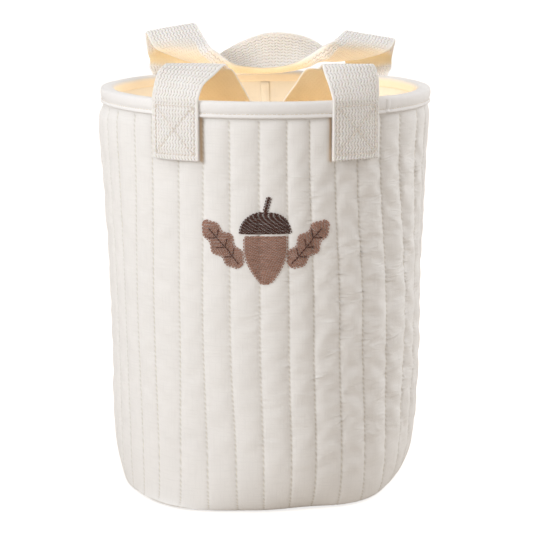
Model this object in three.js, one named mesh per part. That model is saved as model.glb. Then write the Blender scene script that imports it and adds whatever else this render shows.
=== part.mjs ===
// A soft nursery storage bin: a round tub of quilted cotton with a bound rim, a smooth lining,
// two handles of cotton webbing and a stitched acorn motif on its front.
// Millimetres, +Z up, the front faces -Y, and the middle of the base lies at the origin.

import * as THREE from 'three';
import { mergeVertices } from 'three/addons/utils/BufferGeometryUtils.js';

// Tub
const rimHeight = 295;
const rimRadius = 121.5;
const wallTopRadius = 118.9;
const wallFootRadius = 112.6;
const cornerHeight = 46;
const cornerReach = 10;
const seamLift = 1;

// Quilted channels
const channelCount = 38;
const channelPuff = 2.2;
const firstValleyAngle = -2.2;
const puffAtRim = 0.3;
const bindingFade = 8;

// Layers of the wall and base, from outside to inside
const clothThickness = 1.2;
const waddingThickness = 3.4;
const liningThickness = 0.9;
const layerGap = 0.3;
const baseEdgeChamfer = 2.1;

// Bias binding round the rim
const bindingDepthOutside = 11;
const bindingDepthInside = 8;
const bindingTape = 1.2;
const bindingGroove = 0.6;
const grooveRise = 2.6;
const bindingJoinAngle = 45;
const bindingJoinWidth = 4;

// Webbing of the handles
const webbingWidth = 38;
const webbingThickness = 1.6;
const webbingClearance = 0.4;
const lipReach = 3.5;
const sewnDepth = 41;
const frontStrapOffset = { left: 62.4, right: 62.4 };
const backStrapOffset = { left: 74.7, right: 82.8 };

// Lines that the free loops swing about: inset from the rim's outside, and rise above the rim
const frontFold = { inset: 29.5, rise: 22.7 };
const backFold = { inset: 23.5, rise: 9 };
const foldGap = 0.3;

// Threads
const threadSize = 0.6;
const stitchRowWidth = 33;
const stitchRowInset = 4;
const motifThickness = 0.8;

// Motif
const motifCentreHeight = 190;
const acornWidth = 30;
const acornLength = 34;
const capWidth = 36;
const capLength = 15;
const capTipWidth = 5;
const leafWidth = 19;
const leafLength = 40;
const stemWidth = 3;
const stemLength = 10;
const motifGap = 1.5;
const leafDrop = 8;

const turnedColumns = 60;
const layerCornerSteps = 3;
const channelAngle = 2 * Math.PI / channelCount;
const halfWebbing = webbingThickness / 2;
const wallTop = rimHeight - bindingTape - layerGap;
const bindingFoot = rimHeight - bindingDepthOutside;
const innerLegFoot = rimHeight - bindingDepthInside;
const baseSeamRadius = wallFootRadius - cornerReach;
const waddingDepth = clothThickness + layerGap;
const liningDepth = waddingDepth + waddingThickness + layerGap;

const finishes = {
  quiltedCotton: { color: 0xe6dfd6, roughness: 0.9 },
  baseCotton: { color: 0xdfd7cc, roughness: 0.9 },
  wadding: { color: 0xf4f2ee, roughness: 1 },
  lining: { color: 0xf0e2be, roughness: 0.85 },
  binding: { color: 0xefebe4, roughness: 0.85 },
  webbing: { color: 0xebe1d6, roughness: 0.85 },
  creamThread: { color: 0xf2ead9, roughness: 0.7 },
  brownThread: { color: 0xa88373, roughness: 0.7 },
  darkThread: { color: 0x3b211a, roughness: 0.7 },
};

// Points and closed shapes

function onCylinder(angle, radius, height) {
  return new THREE.Vector3(radius * Math.sin(angle), -radius * Math.cos(angle), height);
}

// Merges the doubled points of a geometry and turns its faces outwards.
function closedGeometry(geometry) {
  geometry.deleteAttribute('normal');
  geometry.deleteAttribute('uv');
  const merged = mergeVertices(geometry, 1e-4);
  const place = merged.getAttribute('position');
  const index = merged.getIndex();
  const a = new THREE.Vector3();
  const b = new THREE.Vector3();
  const c = new THREE.Vector3();
  let volume = 0;
  for (let i = 0; i < index.count; i += 3) {
    a.fromBufferAttribute(place, index.getX(i));
    b.fromBufferAttribute(place, index.getX(i + 1));
    c.fromBufferAttribute(place, index.getX(i + 2));
    volume += a.dot(b.cross(c));
  }
  if (volume < 0) {
    for (let i = 0; i < index.count; i += 3) {
      const second = index.getX(i + 1);
      index.setX(i + 1, index.getX(i + 2));
      index.setX(i + 2, second);
    }
  }
  merged.computeVertexNormals();
  return merged;
}

function geometryFromPoints(points, index) {
  const geometry = new THREE.BufferGeometry();
  geometry.setFromPoints(points);
  geometry.setIndex(index);
  return closedGeometry(geometry);
}

// A ring whose section runs round on itself: point(i, j) for section step i and column j.
function ringGeometry(point, steps, columns) {
  const points = [];
  const index = [];
  for (let i = 0; i < steps; i += 1) {
    for (let j = 0; j < columns; j += 1) {
      points.push(point(i, j));
      const here = i * columns + j;
      const right = i * columns + (j + 1) % columns;
      const below = (i + 1) % steps * columns + j;
      const across = (i + 1) % steps * columns + (j + 1) % columns;
      index.push(here, below, right, right, below, across);
    }
  }
  return geometryFromPoints(points, index);
}

// A turned shape about Z from [radius, height] pairs.
function turned(section) {
  const profile = section.map(([radius, height]) => new THREE.Vector2(radius, height));
  const geometry = new THREE.LatheGeometry(profile, turnedColumns);
  geometry.rotateX(Math.PI / 2);
  return closedGeometry(geometry);
}

// A closed sheet from a grid of middle points. Each row also holds how far the sheet stands
// out on its two sides: below the surface normal and above it.
function sheetGeometry(rows) {
  const columns = rows[0].middle.length;
  const top = [];
  const bottom = [];
  const along = new THREE.Vector3();
  const across = new THREE.Vector3();
  rows.forEach((row, i) => {
    const before = rows[Math.max(i - 1, 0)].middle;
    const after = rows[Math.min(i + 1, rows.length - 1)].middle;
    row.middle.forEach((point, j) => {
      along.subVectors(after[j], before[j]);
      const next = row.middle[Math.min(j + 1, columns - 1)];
      const last = row.middle[Math.max(j - 1, 0)];
      across.subVectors(next, last);
      const normal = along.clone().cross(across).normalize();
      bottom.push(point.clone().addScaledVector(normal, -row.below));
      top.push(point.clone().addScaledVector(normal, row.above));
    });
  });
  const index = [];
  const under = top.length;
  const quad = (a, b, c, d) => index.push(a, b, c, c, b, d);
  for (let i = 0; i < rows.length - 1; i += 1) {
    for (let j = 0; j < columns - 1; j += 1) {
      const here = i * columns + j;
      quad(here, here + columns, here + 1, here + columns + 1);
      quad(under + here, under + here + 1, under + here + columns, under + here + columns + 1);
    }
    const left = i * columns;
    const right = left + columns - 1;
    quad(left, under + left, left + columns, under + left + columns);
    quad(right, right + columns, under + right, under + right + columns);
  }
  const end = (rows.length - 1) * columns;
  for (let j = 0; j < columns - 1; j += 1) {
    quad(j, j + 1, under + j, under + j + 1);
    quad(end + j, under + end + j, end + j + 1, under + end + j + 1);
  }
  return geometryFromPoints([...top, ...bottom], index);
}

// A patch that lies on the tub: angle, radius and height are functions of two shares.
function patchGeometry(rowCount, columnCount, thickness, place) {
  const rows = [];
  for (let i = 0; i <= rowCount; i += 1) {
    const middle = [];
    for (let j = 0; j <= columnCount; j += 1) {
      middle.push(place(i / rowCount, j / columnCount));
    }
    rows.push({ middle, below: thickness / 2, above: thickness / 2 });
  }
  return sheetGeometry(rows);
}

// Tub: outline

function valleyRadius(height) {
  const share = (height - cornerHeight) / (rimHeight - cornerHeight);
  return THREE.MathUtils.lerp(wallFootRadius, wallTopRadius, Math.max(share, 0));
}

// The puff of the channels fades under the binding and towards the base seam.
function puffAt(height) {
  const binding = THREE.MathUtils.smoothstep(height, bindingFoot - bindingFade, bindingFoot);
  const corner = THREE.MathUtils.smoothstep(height, seamLift, cornerHeight);
  return channelPuff * (1 - (1 - puffAtRim) * binding) * corner;
}

function crestRadius(height) {
  return valleyRadius(height) + puffAt(height);
}

// The line of a layer from the rim to the base seam, a depth inside the stitched valleys.
// Each point holds its radius, height and outward direction.
function layerLine(depth, topHeight, straightHeights, cornerSteps) {
  const line = [topHeight, ...straightHeights, cornerHeight].map((height) => ({
    radius: valleyRadius(height) - depth,
    height,
    out: new THREE.Vector2(1, 0),
  }));
  const wide = cornerReach - depth;
  const tall = cornerHeight - seamLift - depth;
  for (let i = 1; i <= cornerSteps; i += 1) {
    const turn = Math.PI / 2 * i / cornerSteps;
    line.push({
      radius: baseSeamRadius + wide * Math.cos(turn),
      height: cornerHeight - tall * Math.sin(turn),
      out: new THREE.Vector2(tall * Math.cos(turn), -wide * Math.sin(turn)).normalize(),
    });
  }
  return line;
}

function channelShare(angle) {
  const first = THREE.MathUtils.degToRad(firstValleyAngle);
  const turns = (angle - first) / channelAngle;
  return turns - Math.floor(turns);
}

// The outer wall: 38 channels that swell between their stitch lines, over a smooth inside.
function outerWall() {
  const columnsPerChannel = 4;
  const columns = channelCount * columnsPerChannel;
  const first = THREE.MathUtils.degToRad(firstValleyAngle);
  const middleHeight = (cornerHeight + rimHeight) / 2;
  const outside = layerLine(0, wallTop, [bindingFoot, bindingFoot - bindingFade, middleHeight], 4);
  const inside = layerLine(clothThickness, wallTop, [], layerCornerSteps).reverse();
  const section = [...outside, ...inside];
  return ringGeometry((i, j) => {
    const line = section[i];
    const share = j % columnsPerChannel / columnsPerChannel;
    const puff = i < outside.length ? puffAt(line.height) * Math.sin(Math.PI * share) ** 0.8 : 0;
    const radius = line.radius + puff * line.out.x;
    const height = line.height + puff * line.out.y;
    return onCylinder(first + j * channelAngle / columnsPerChannel, radius, height);
  }, section.length, columns);
}

// A smooth sleeve between two depths inside the outer wall.
function sleeve(outerDepth, thickness) {
  const outside = layerLine(outerDepth, wallTop, [], layerCornerSteps);
  const inside = layerLine(outerDepth + thickness, wallTop, [], layerCornerSteps).reverse();
  const section = [...outside, ...inside, outside[0]].map((line) => [line.radius, line.height]);
  return turned(section);
}

const baseRadius = baseSeamRadius - layerGap;

function outerBase() {
  const inner = baseRadius - baseEdgeChamfer;
  return turned([
    [0, 0],
    [inner, 0],
    [baseRadius, seamLift],
    [baseRadius, seamLift + clothThickness],
    [inner, clothThickness],
    [0, clothThickness],
  ]);
}

function baseWadding() {
  const under = clothThickness + layerGap;
  const top = seamLift + waddingDepth + waddingThickness;
  return turned([
    [0, under],
    [baseRadius - baseEdgeChamfer, under],
    [baseRadius, seamLift + waddingDepth],
    [baseRadius, top],
    [0, top],
  ]);
}

const liningFloor = seamLift + liningDepth + liningThickness;

function liningBase() {
  const under = seamLift + liningDepth;
  return turned([[0, under], [baseRadius, under], [baseRadius, liningFloor], [0, liningFloor]]);
}

// The seam allowance of the lining stands as a narrow flap down the back of the inside.
function liningSeam() {
  const flapWidth = 6;
  const depth = liningDepth + liningThickness + layerGap + liningThickness / 2;
  const top = innerLegFoot - 1;
  return patchGeometry(1, 1, liningThickness, (down, side) => {
    const height = THREE.MathUtils.lerp(top, cornerHeight + 4, down);
    const radius = valleyRadius(height) - depth;
    return onCylinder(Math.PI + (side - 0.5) * flapWidth / radius, radius, height);
  });
}

// Binding

const bindingInside = valleyRadius(innerLegFoot) - liningDepth - liningThickness - layerGap;

function rimBinding() {
  const outerLeg = rimRadius - bindingTape;
  const innerFace = bindingInside - bindingTape;
  const foot = bindingFoot;
  const section = [
    [outerLeg, foot],
    [rimRadius - 0.1, foot],
    [rimRadius - 0.1, foot + grooveRise - 1],
    [rimRadius - bindingGroove, foot + grooveRise],
    [rimRadius, foot + grooveRise + 1.4],
    [rimRadius, rimHeight - 3],
    [rimRadius - 1.3, rimHeight - 0.8],
    [rimRadius - 3.4, rimHeight],
    [innerFace + 3.2, rimHeight],
    [innerFace + 1, rimHeight - 1],
    [innerFace, rimHeight - 3.2],
    [innerFace, innerLegFoot],
    [bindingInside, innerLegFoot],
    [bindingInside, rimHeight - bindingTape],
    [outerLeg, rimHeight - bindingTape],
    [outerLeg, foot],
  ];
  return turned(section);
}

// The thread lies in the groove, a thread's thickness proud of its floor.
function bindingThread() {
  const height = bindingFoot + grooveRise;
  const inner = rimRadius - bindingGroove + layerGap;
  const half = threadSize / 2;
  const section = [
    [inner, height - half / 2],
    [inner + half, height - half / 2],
    [inner + half, height + half / 2],
    [inner, height + half / 2],
    [inner, height - half / 2],
  ];
  return turned(section);
}

function bindingJoin() {
  const middle = THREE.MathUtils.degToRad(bindingJoinAngle);
  const radius = rimRadius + layerGap + clothThickness / 4;
  return patchGeometry(1, 1, clothThickness / 2, (down, side) => {
    const height = THREE.MathUtils.lerp(rimHeight - 3.2, bindingFoot + 0.3, down);
    return onCylinder(middle + (side - 0.5) * bindingJoinWidth / radius, radius, height);
  });
}

// Handles

// The middle of the sewn webbing at a height, clear of the channels and the binding.
function seatRadius(height) {
  return Math.max(rimRadius, crestRadius(height)) + webbingClearance + halfWebbing;
}

// One station across the webbing: its two edges, how far its middle is cupped and how far the
// lip beside its right edge hangs.
function station(centre, across, cup = 0, lip = 0) {
  return {
    left: centre.clone().addScaledVector(across, -webbingWidth / 2),
    right: centre.clone().addScaledVector(across, webbingWidth / 2),
    cup,
    lip,
  };
}

// A station of a free stretch: x as a share of the strap's own offset, y inwards from the fold
// line, z above the rim, the direction across as shares of the webbing's width, cup and lip.
function freeStation(side, [share, inward, rise, acrossX, acrossY, acrossZ, cup, lip = 0]) {
  const offset = share < 0 ? side.offset.left : side.offset.right;
  const y = side.face * (rimRadius - side.fold.inset - inward);
  const centre = new THREE.Vector3(share * offset, y, rimHeight + rise);
  return station(centre, new THREE.Vector3(acrossX, acrossY, acrossZ), cup, lip);
}

// Stations of the sewn stretch, which lies round the tub at the strap's own angle.
function sewnStations(side, offset) {
  const angle = Math.asin(offset / seatRadius(rimHeight));
  const turn = side.face < 0 ? angle : Math.PI - angle;
  return [-sewnDepth, -sewnDepth / 2, -bindingTape, webbingClearance].map((rise) => {
    const radius = seatRadius(rimHeight + rise);
    const half = Math.asin(webbingWidth / 2 / radius);
    const sagitta = radius * (1 - Math.cos(half));
    const centre = onCylinder(turn, radius - sagitta, rimHeight + rise);
    const across = new THREE.Vector3(Math.cos(angle), -side.face * Math.sin(angle), 0);
    return station(centre, across, side.face * sagitta);
  });
}

// Rows for a sheet along smooth curves through the stations, three points or more across.
function webbingRows(stations, stepsPerStation, columns) {
  const left = new THREE.CatmullRomCurve3(stations.map((one) => one.left));
  const right = new THREE.CatmullRomCurve3(stations.map((one) => one.right));
  const spans = stations.length - 1;
  const rows = [];
  for (let i = 0; i <= spans * stepsPerStation; i += 1) {
    const share = i / (spans * stepsPerStation);
    const span = Math.min(Math.floor(i / stepsPerStation), spans - 1);
    const within = i / stepsPerStation - span;
    const cup = THREE.MathUtils.lerp(stations[span].cup, stations[span + 1].cup, within);
    const lip = THREE.MathUtils.lerp(stations[span].lip, stations[span + 1].lip, within);
    const row = webbingRow(left.getPoint(share), right.getPoint(share), columns);
    rows.push({ ...row, cup, lip });
  }
  cupRows(rows);
  return rows;
}

function webbingRow(left, right, columns) {
  const middle = [];
  for (let j = 0; j <= columns; j += 1) {
    middle.push(left.clone().lerp(right, j / columns));
  }
  return { middle, below: halfWebbing, above: halfWebbing };
}

// Moves each row out of the straight line between its edges, and hangs its lip down.
function cupRows(rows) {
  const flat = rows.map((row) => row.middle.map((point) => point.clone()));
  const along = new THREE.Vector3();
  const across = new THREE.Vector3();
  rows.forEach((row, i) => {
    const last = row.middle.length - 1;
    const middle = last / 2;
    along.subVectors(flat[Math.min(i + 1, rows.length - 1)][middle], flat[Math.max(i - 1, 0)][middle]);
    across.subVectors(flat[i][last], flat[i][0]);
    const normal = along.clone().cross(across).normalize();
    row.middle.forEach((point, j) => {
      const share = j / last;
      point.addScaledVector(normal, row.cup * 4 * share * (1 - share));
      point.z -= row.lip * Math.sin(Math.PI * share ** lipReach);
    });
  });
}

const front = {
  face: -1,
  offset: frontStrapOffset,
  fold: frontFold,
  leftRiser: [
    [-0.945, -10.5, 11, 0.876, -0.395, -0.07, 0],
    [-0.853, -6, 18.5, 1.03, -0.21, -0.05, 0],
    [-0.79, -2.8, 22.2, 1.08, -0.05, 0, 0],
  ],
  rightRiser: [
    [0.966, -10.5, 11, 0.915, 0.395, 0.07, 0],
    [0.93, -6, 18.5, 0.96, 0.21, 0.03, 0],
    [0.91, -2.8, 22.2, 0.95, 0.05, 0, 0],
  ],
  leftFold: { share: -0.77, across: 1.1 },
  rightFold: { share: 0.905, across: -0.94 },
  foldRun: new THREE.Vector3(0, 1, 0),
  loop: [
    [-0.762, 1.5, 22.5, 1.1, 0, 0, 0],
    [-0.73, 6, 20.5, 1.08, -0.05, -0.03, 0],
    [-0.577, 14, 8, 0.7, -0.4, 0.57, 0],
    [-0.43, 20, -4, 0.58, -0.54, 0.57, 0],
    [-0.3, 23, -15, 0.5, -0.68, 0.5, 0],
    [-0.145, 26, -25, 0.28, -0.9, 0.3, 0],
    [0.015, 27, -29, 0.02, -1, 0.05, 0],
    [0.165, 26, -25, -0.25, -0.9, 0.3, 0],
    [0.335, 23, -14, -0.5, -0.68, 0.5, 0],
    [0.495, 19.5, -3, -0.56, -0.54, 0.6, 0],
    [0.67, 14, 9, -0.72, -0.38, 0.55, 0],
    [0.865, 6, 20.5, -0.96, -0.05, -0.02, 0],
    [0.895, 1.5, 22.5, -0.94, 0, 0, 0],
  ],
  loopColumns: 2,
  endTip: { below: -0.45, above: halfWebbing },
};

const back = {
  face: 1,
  offset: backStrapOffset,
  fold: backFold,
  leftRiser: [[-0.99, 0.3, 4.5, 0.93, 0.25, 0, 0]],
  rightRiser: [[0.99, 0.3, 4.5, 0.93, -0.25, 0, 0]],
  leftFold: { share: -0.977, across: 0.975 },
  rightFold: { share: 0.984, across: -0.975 },
  foldRun: new THREE.Vector3(0, 0, 1),
  loop: [
    [-0.977, -0.4, 11, 0.98, 0.02, 0, 0, 0],
    [-0.985, -2.5, 16, 1, 0.18, 0.1, 0, 0],
    [-1, 7, 35.75, 1.01, 0.16, 0.175, 0, 0],
    [-0.895, 21, 25, 1, 0.12, 0.21, 1, 0],
    [-0.7, 28, 17.2, 0.59, -0.68, 0.276, 5.5, 0.5],
    [-0.535, 25, 14, 0.3, -0.7, 0.18, 8, 3],
    [-0.37, 19.5, 14.3, 0.18, -0.78, -0.22, 8.4, 4.5],
    [-0.194, 17, 16.6, 0.129, -0.579, -0.495, 7.5, 5.5],
    [0.024, 16, 19.2, 0, -0.526, -0.674, 6, 6.5],
    [0.27, 17, 20.25, -0.08, -0.579, -0.56, 7.5, 6],
    [0.435, 19.5, 21.7, -0.103, -0.79, -0.232, 8.4, 6],
    [0.618, 27, 18.45, -0.384, -0.79, 0.308, 6, 4],
    [0.76, 28, 20, -0.62, -0.66, 0.4, 2, 0],
    [0.936, 21, 25.5, -0.96, 0.1, 0.33, 0, 0],
    [0.994, 7, 29.5, -1.03, 0.16, 0.145, 0, 0],
    [0.984, -2.5, 16, -1, 0.18, 0.1, 0, 0],
    [0.984, -0.4, 11, -0.98, 0.02, 0, 0, 0],
  ],
  loopColumns: 4,
  endTip: { below: 0.3, above: 0.3 },
};

// Where a strap's end meets its loop: straight along X, a length along the strap from the fold.
function foldRow(side, end, along, columns) {
  const offset = end.share < 0 ? side.offset.left : side.offset.right;
  const y = side.face * (rimRadius - side.fold.inset);
  const centre = new THREE.Vector3(end.share * offset, y, rimHeight + side.fold.rise);
  centre.addScaledVector(side.foldRun, along);
  const edges = station(centre, new THREE.Vector3(end.across, 0, 0));
  return { ...webbingRow(edges.left, edges.right, columns), edges };
}

// A sewn end: the stretch on the tub and the riser above the rim, up to the fold line.
function strapEnd(side, name) {
  const left = name === 'left';
  const end = left ? side.leftFold : { ...side.rightFold, across: -side.rightFold.across };
  const offset = left ? -side.offset.left : side.offset.right;
  const columns = 4;
  const reach = -halfWebbing - foldGap;
  const tip = foldRow(side, end, reach, columns);
  const riser = (left ? side.leftRiser : side.rightRiser).map((one) => freeStation(side, one));
  const rows = webbingRows([...sewnStations(side, offset), ...riser, tip.edges], 3, columns);
  Object.assign(rows[rows.length - 1], side.endTip);
  return sheetGeometry(rows);
}

// The free loop between the two fold lines, with half-round ends about those lines.
function handleLoop(side) {
  const columns = side.loopColumns;
  const roundAt = [0.98, 0.7, 0].map((share) => ({
    along: -share * halfWebbing,
    half: halfWebbing * Math.sqrt(1 - share * share),
  }));
  const roundRows = (end) => roundAt.map(({ along, half }) => ({
    ...foldRow(side, end, along, columns),
    below: half,
    above: half,
  }));
  const start = roundRows(side.leftFold);
  const finish = roundRows(side.rightFold).reverse();
  const stations = [
    start[2].edges,
    ...side.loop.map((one) => freeStation(side, one)),
    finish[0].edges,
  ];
  const rows = webbingRows(stations, 3, columns);
  return sheetGeometry([...start.slice(0, 2), ...rows, ...finish.slice(1)]);
}

// A row of stitches across a sewn end, a height above its foot.
function strapStitches(side, name, up) {
  const offset = name === 'left' ? -side.offset.left : side.offset.right;
  const angle = Math.asin(offset / seatRadius(rimHeight));
  const turn = side.face < 0 ? angle : Math.PI - angle;
  const height = rimHeight - sewnDepth + up;
  const radius = seatRadius(height) + halfWebbing + layerGap + threadSize / 4;
  return patchGeometry(1, 6, threadSize / 2, (down, share) => {
    const across = (share - 0.5) * stitchRowWidth / radius;
    return onCylinder(turn + across, radius, height + (0.5 - down) * threadSize);
  });
}

// Motif: an acorn in its cap between two leaves, stitched as raised patches

const motifStand = layerGap + motifThickness / 2;

// A point of the motif from x and z about its centre, on the crests of the channels.
function onFront(x, z) {
  const height = motifCentreHeight + z;
  const radius = crestRadius(height) + motifStand;
  return onCylinder(x / radius, radius, height);
}

// A stitched shape about a straight midrib: width is a function of the share along it.
function stitchedShape(root, lean, length, width, steps) {
  const run = new THREE.Vector2(Math.sin(lean), Math.cos(lean));
  const side = new THREE.Vector2(Math.cos(lean), -Math.sin(lean));
  return patchGeometry(steps, 6, motifThickness, (share, across) => {
    const along = share * length;
    const out = (across - 0.5) * width(share);
    return onFront(root.x + run.x * along + side.x * out, root.y + run.y * along + side.y * out);
  });
}

function acorn() {
  const root = new THREE.Vector2(0, -acornLength / 2 - 4);
  return stitchedShape(root, 0, acornLength, (share) => {
    return 2 + (acornWidth - 2) * Math.sin(Math.PI * Math.min(share * 0.62 + 0.02, 0.5)) ** 0.8;
  }, 7);
}

const capFoot = acornLength / 2 - 4 + motifGap;

function acornCap() {
  return stitchedShape(new THREE.Vector2(0, capFoot), 0, capLength, (share) => {
    return capTipWidth + (capWidth - capTipWidth) * Math.sqrt(1 - share ** 2);
  }, 6);
}

function acornStem() {
  const foot = new THREE.Vector2(0, capFoot + capLength + motifGap / 2);
  return stitchedShape(foot, 0.25, stemLength, () => stemWidth, 3);
}

// A leaf with three rounded lobes a side.
function leaf(sign) {
  const root = new THREE.Vector2(sign * (capWidth / 2 - 1), -leafDrop);
  return stitchedShape(root, sign * 0.72, leafLength, (share) => {
    const lobes = 0.82 + 0.18 * Math.cos(share * 6 * Math.PI - Math.PI);
    return 1.5 + (leafWidth - 1.5) * Math.sin(Math.PI * (0.08 + share * 0.88)) ** 0.6 * lobes;
  }, 12);
}

// The bin

const bin = new THREE.Group();

function addPiece(name, geometry, finish) {
  const material = new THREE.MeshStandardMaterial({ ...finishes[finish], metalness: 0 });
  const mesh = new THREE.Mesh(geometry, material);
  mesh.name = name;
  bin.add(mesh);
}

addPiece('outer_wall', outerWall(), 'quiltedCotton');
addPiece('outer_base', outerBase(), 'baseCotton');
addPiece('wall_wadding', sleeve(waddingDepth, waddingThickness), 'wadding');
addPiece('base_wadding', baseWadding(), 'wadding');
addPiece('lining_wall', sleeve(liningDepth, liningThickness), 'lining');
addPiece('lining_base', liningBase(), 'lining');
addPiece('lining_seam', liningSeam(), 'lining');
addPiece('rim_binding', rimBinding(), 'binding');
addPiece('binding_join', bindingJoin(), 'binding');
addPiece('binding_thread', bindingThread(), 'creamThread');

for (const [place, side] of [['front', front], ['back', back]]) {
  for (const name of ['left', 'right']) {
    addPiece(`${place}_${name}_strap_end`, strapEnd(side, name), 'webbing');
    const foot = strapStitches(side, name, stitchRowInset);
    const top = strapStitches(side, name, sewnDepth - stitchRowInset);
    addPiece(`${place}_${name}_foot_stitches`, foot, 'creamThread');
    addPiece(`${place}_${name}_top_stitches`, top, 'creamThread');
  }
  addPiece(`${place}_handle`, handleLoop(side), 'webbing');
}

addPiece('motif_acorn', acorn(), 'brownThread');
addPiece('motif_acorn_cap', acornCap(), 'darkThread');
addPiece('motif_acorn_stem', acornStem(), 'darkThread');
addPiece('motif_leaf_left', leaf(-1), 'brownThread');
addPiece('motif_leaf_right', leaf(1), 'brownThread');

export default bin;
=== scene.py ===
"""A quilted cotton storage bin for a nursery, with two webbing handles and a stitched acorn motif."""

import math

import bmesh
import bpy
import numpy as np
from bpy.props import FloatProperty, FloatVectorProperty, IntProperty, PointerProperty
from mathutils import Matrix, Vector, noise
from mathutils.bvhtree import BVHTree


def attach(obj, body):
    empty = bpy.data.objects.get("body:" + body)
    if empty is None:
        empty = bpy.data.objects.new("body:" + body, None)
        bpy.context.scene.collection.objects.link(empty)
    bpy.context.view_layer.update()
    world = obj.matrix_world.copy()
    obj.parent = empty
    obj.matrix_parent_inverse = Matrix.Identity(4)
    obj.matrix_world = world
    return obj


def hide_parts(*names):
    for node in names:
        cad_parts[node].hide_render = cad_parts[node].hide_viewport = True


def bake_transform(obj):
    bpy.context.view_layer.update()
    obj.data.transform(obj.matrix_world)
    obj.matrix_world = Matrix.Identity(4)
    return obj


bl_info = {
    "name": "Quilted storage bin",
    "version": (1, 0, 0),
    "blender": (4, 5, 0),
    "location": "3D View > Sidebar > Storage bin",
    "description": "Builds a quilted cotton bin with webbing handles in the frame of its CAD model",
    "category": "Add Mesh",
}

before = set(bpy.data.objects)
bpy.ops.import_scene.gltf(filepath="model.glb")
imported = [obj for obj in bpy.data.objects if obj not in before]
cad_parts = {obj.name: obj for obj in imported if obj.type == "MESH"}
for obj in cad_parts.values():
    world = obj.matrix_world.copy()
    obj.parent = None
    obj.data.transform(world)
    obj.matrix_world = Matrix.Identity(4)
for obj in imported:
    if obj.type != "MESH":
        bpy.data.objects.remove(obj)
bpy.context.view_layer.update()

MM = 0.001
WHITE = (1, 1, 1, 1)

# Yarn spacing in millimetres. Real yarns lie 0.25 to 0.3 apart, too fine for the picture, so that
# the weave is drawn about twice as coarse to show at all.
QUILT_YARN = 0.55
LINING_YARN = 0.5
BINDING_YARN = 0.45

BINDING_TAPE = 0.0015  # how far the wall ends below the top of the binding
CORNER_LINE = 0.053  # length of the foot curve
MAP_RADIUS = 118  # millimetres from the axis, where the wall's UV map is true
CLOTH_THICKNESS = 0.0007
LINING_GAP = 0.0006  # between the wall's inside and the lining
LINING_SHORT = 0.010  # how much shorter the lining is than the wall's line
INNER_LIFT = 0.0006  # lowest the wall's inside comes to the floor
STITCHED_TOP = 0.0372  # upper seam of a sewn strap end, up from its foot


# Colours and sizes


def linear(code):
    """An sRGB hex colour as linear red, green, blue and a full alpha."""
    parts = [int(code[i : i + 2], 16) / 255 for i in (0, 2, 4)]
    return [p / 12.92 if p <= 0.04045 else ((p + 0.055) / 1.055) ** 2.4 for p in parts] + [1.0]


def length(name, description, default):
    return FloatProperty(name=name, description=description, default=default, unit="LENGTH", precision=4)


def colour(name, description, code):
    return FloatVectorProperty(
        name=name, description=description, default=linear(code), size=4, subtype="COLOR", min=0, max=1
    )


class BinSizes(bpy.types.PropertyGroup):
    rim_height: length("Rim height", "Height of the bound rim", 0.295)
    rim_radius: length("Rim radius", "Outside of the binding", 0.1215)
    wall_top_radius: length("Wall radius at the rim", "Stitch lines of the wall at the rim", 0.1189)
    wall_foot_radius: length("Wall radius at the foot", "Stitch lines above the foot curve", 0.1126)
    corner_height: length("Foot curve height", "Height at which the wall starts to turn in", 0.046)
    corner_reach: length("Foot curve reach", "How far the wall turns in to the base seam", 0.010)
    seam_lift: length("Seam lift", "Height of the base seam", 0.001)
    wall_depth: length("Wall depth", "Cloth and wadding of the wall", 0.0049)
    lining_depth: length("Lining depth", "From the stitch lines to the lining's outside", 0.0052)
    channel_count: IntProperty(name="Channels", description="Quilted channels round the wall", default=38)
    channel_puff: length("Channel puff", "How far a channel swells", 0.0018)
    stitch_pitch: length("Stitch pitch", "From one quilting stitch to the next", 0.00358)
    binding_depth: length("Binding depth", "Outer leg of the bias binding", 0.011)
    binding_inner_depth: length("Inner binding depth", "Inner leg of the bias binding", 0.008)


class HandleSizes(bpy.types.PropertyGroup):
    width: length("Webbing width", "Width of the handle webbing", 0.038)
    thickness: length("Webbing thickness", "Thickness of the handle webbing", 0.0016)
    clearance: length("Webbing clearance", "Gap between the sewn webbing and the binding", 0.0004)
    sewn_depth: length("Sewn depth", "Length of the webbing sewn below the rim", 0.041)
    front_offset: length("Front strap offset", "Middle of the bin to the middle of a front strap", 0.0624)
    back_left_offset: length("Back left offset", "Middle of the bin to the back left strap", 0.0747)
    back_right_offset: length("Back right offset", "Middle of the bin to the back right strap", 0.0828)
    rib_pitch: length("Rib pitch", "Width of one rib of the weave", 0.0024)
    zigzag_pitch: length("Zigzag pitch", "Length of one zigzag of the ribs", 0.0050)
    rib_height: length("Rib height", "Relief of the ribs", 0.0006)


class BinColours(bpy.types.PropertyGroup):
    quilt: colour("Quilted cotton", "Outer cloth", "F3F0ED")
    # Painted shade: the stitch lines' colour stands for the shade in their grooves, darkest at the holes.
    quilt_seam_shade: colour("Stitch line shade", "Cloth pulled down at the stitch holes", "A79C86")
    base: colour("Base cotton", "Outer cloth of the base", "EDE5DA")
    lining: colour("Lining", "Inner cloth", "F3E8D6")
    binding: colour("Binding", "Bias tape", "F5F2F0")
    webbing: colour("Webbing", "Cotton webbing", "FFFBF7")
    # Painted shade: the colour between the ribs stands for the shade in the weave's gaps.
    webbing_gap_shade: colour("Webbing gaps", "Between the ribs of the weave", "BDA88F")
    webbing_glow: colour("Webbing inside", "Webbing that the lining lights", "FFE2AE")
    webbing_shade: colour("Shade beside the webbing", "Wall that light reaches through the webbing", "C79B5C")
    cream_thread: colour("Cream thread", "Quilting and seam thread", "E6DAC4")
    strap_thread: colour("Strap thread", "Thread that sews the handles on", "F2E8DD")
    brown_thread: colour("Brown thread", "Filling thread of the motif", "A9806F")
    dark_thread: colour("Dark thread", "Dark thread of the motif", "4A2A20")
    floor: colour("Floor", "Studio floor and backdrop", "CCC3B8")


# Materials


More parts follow.
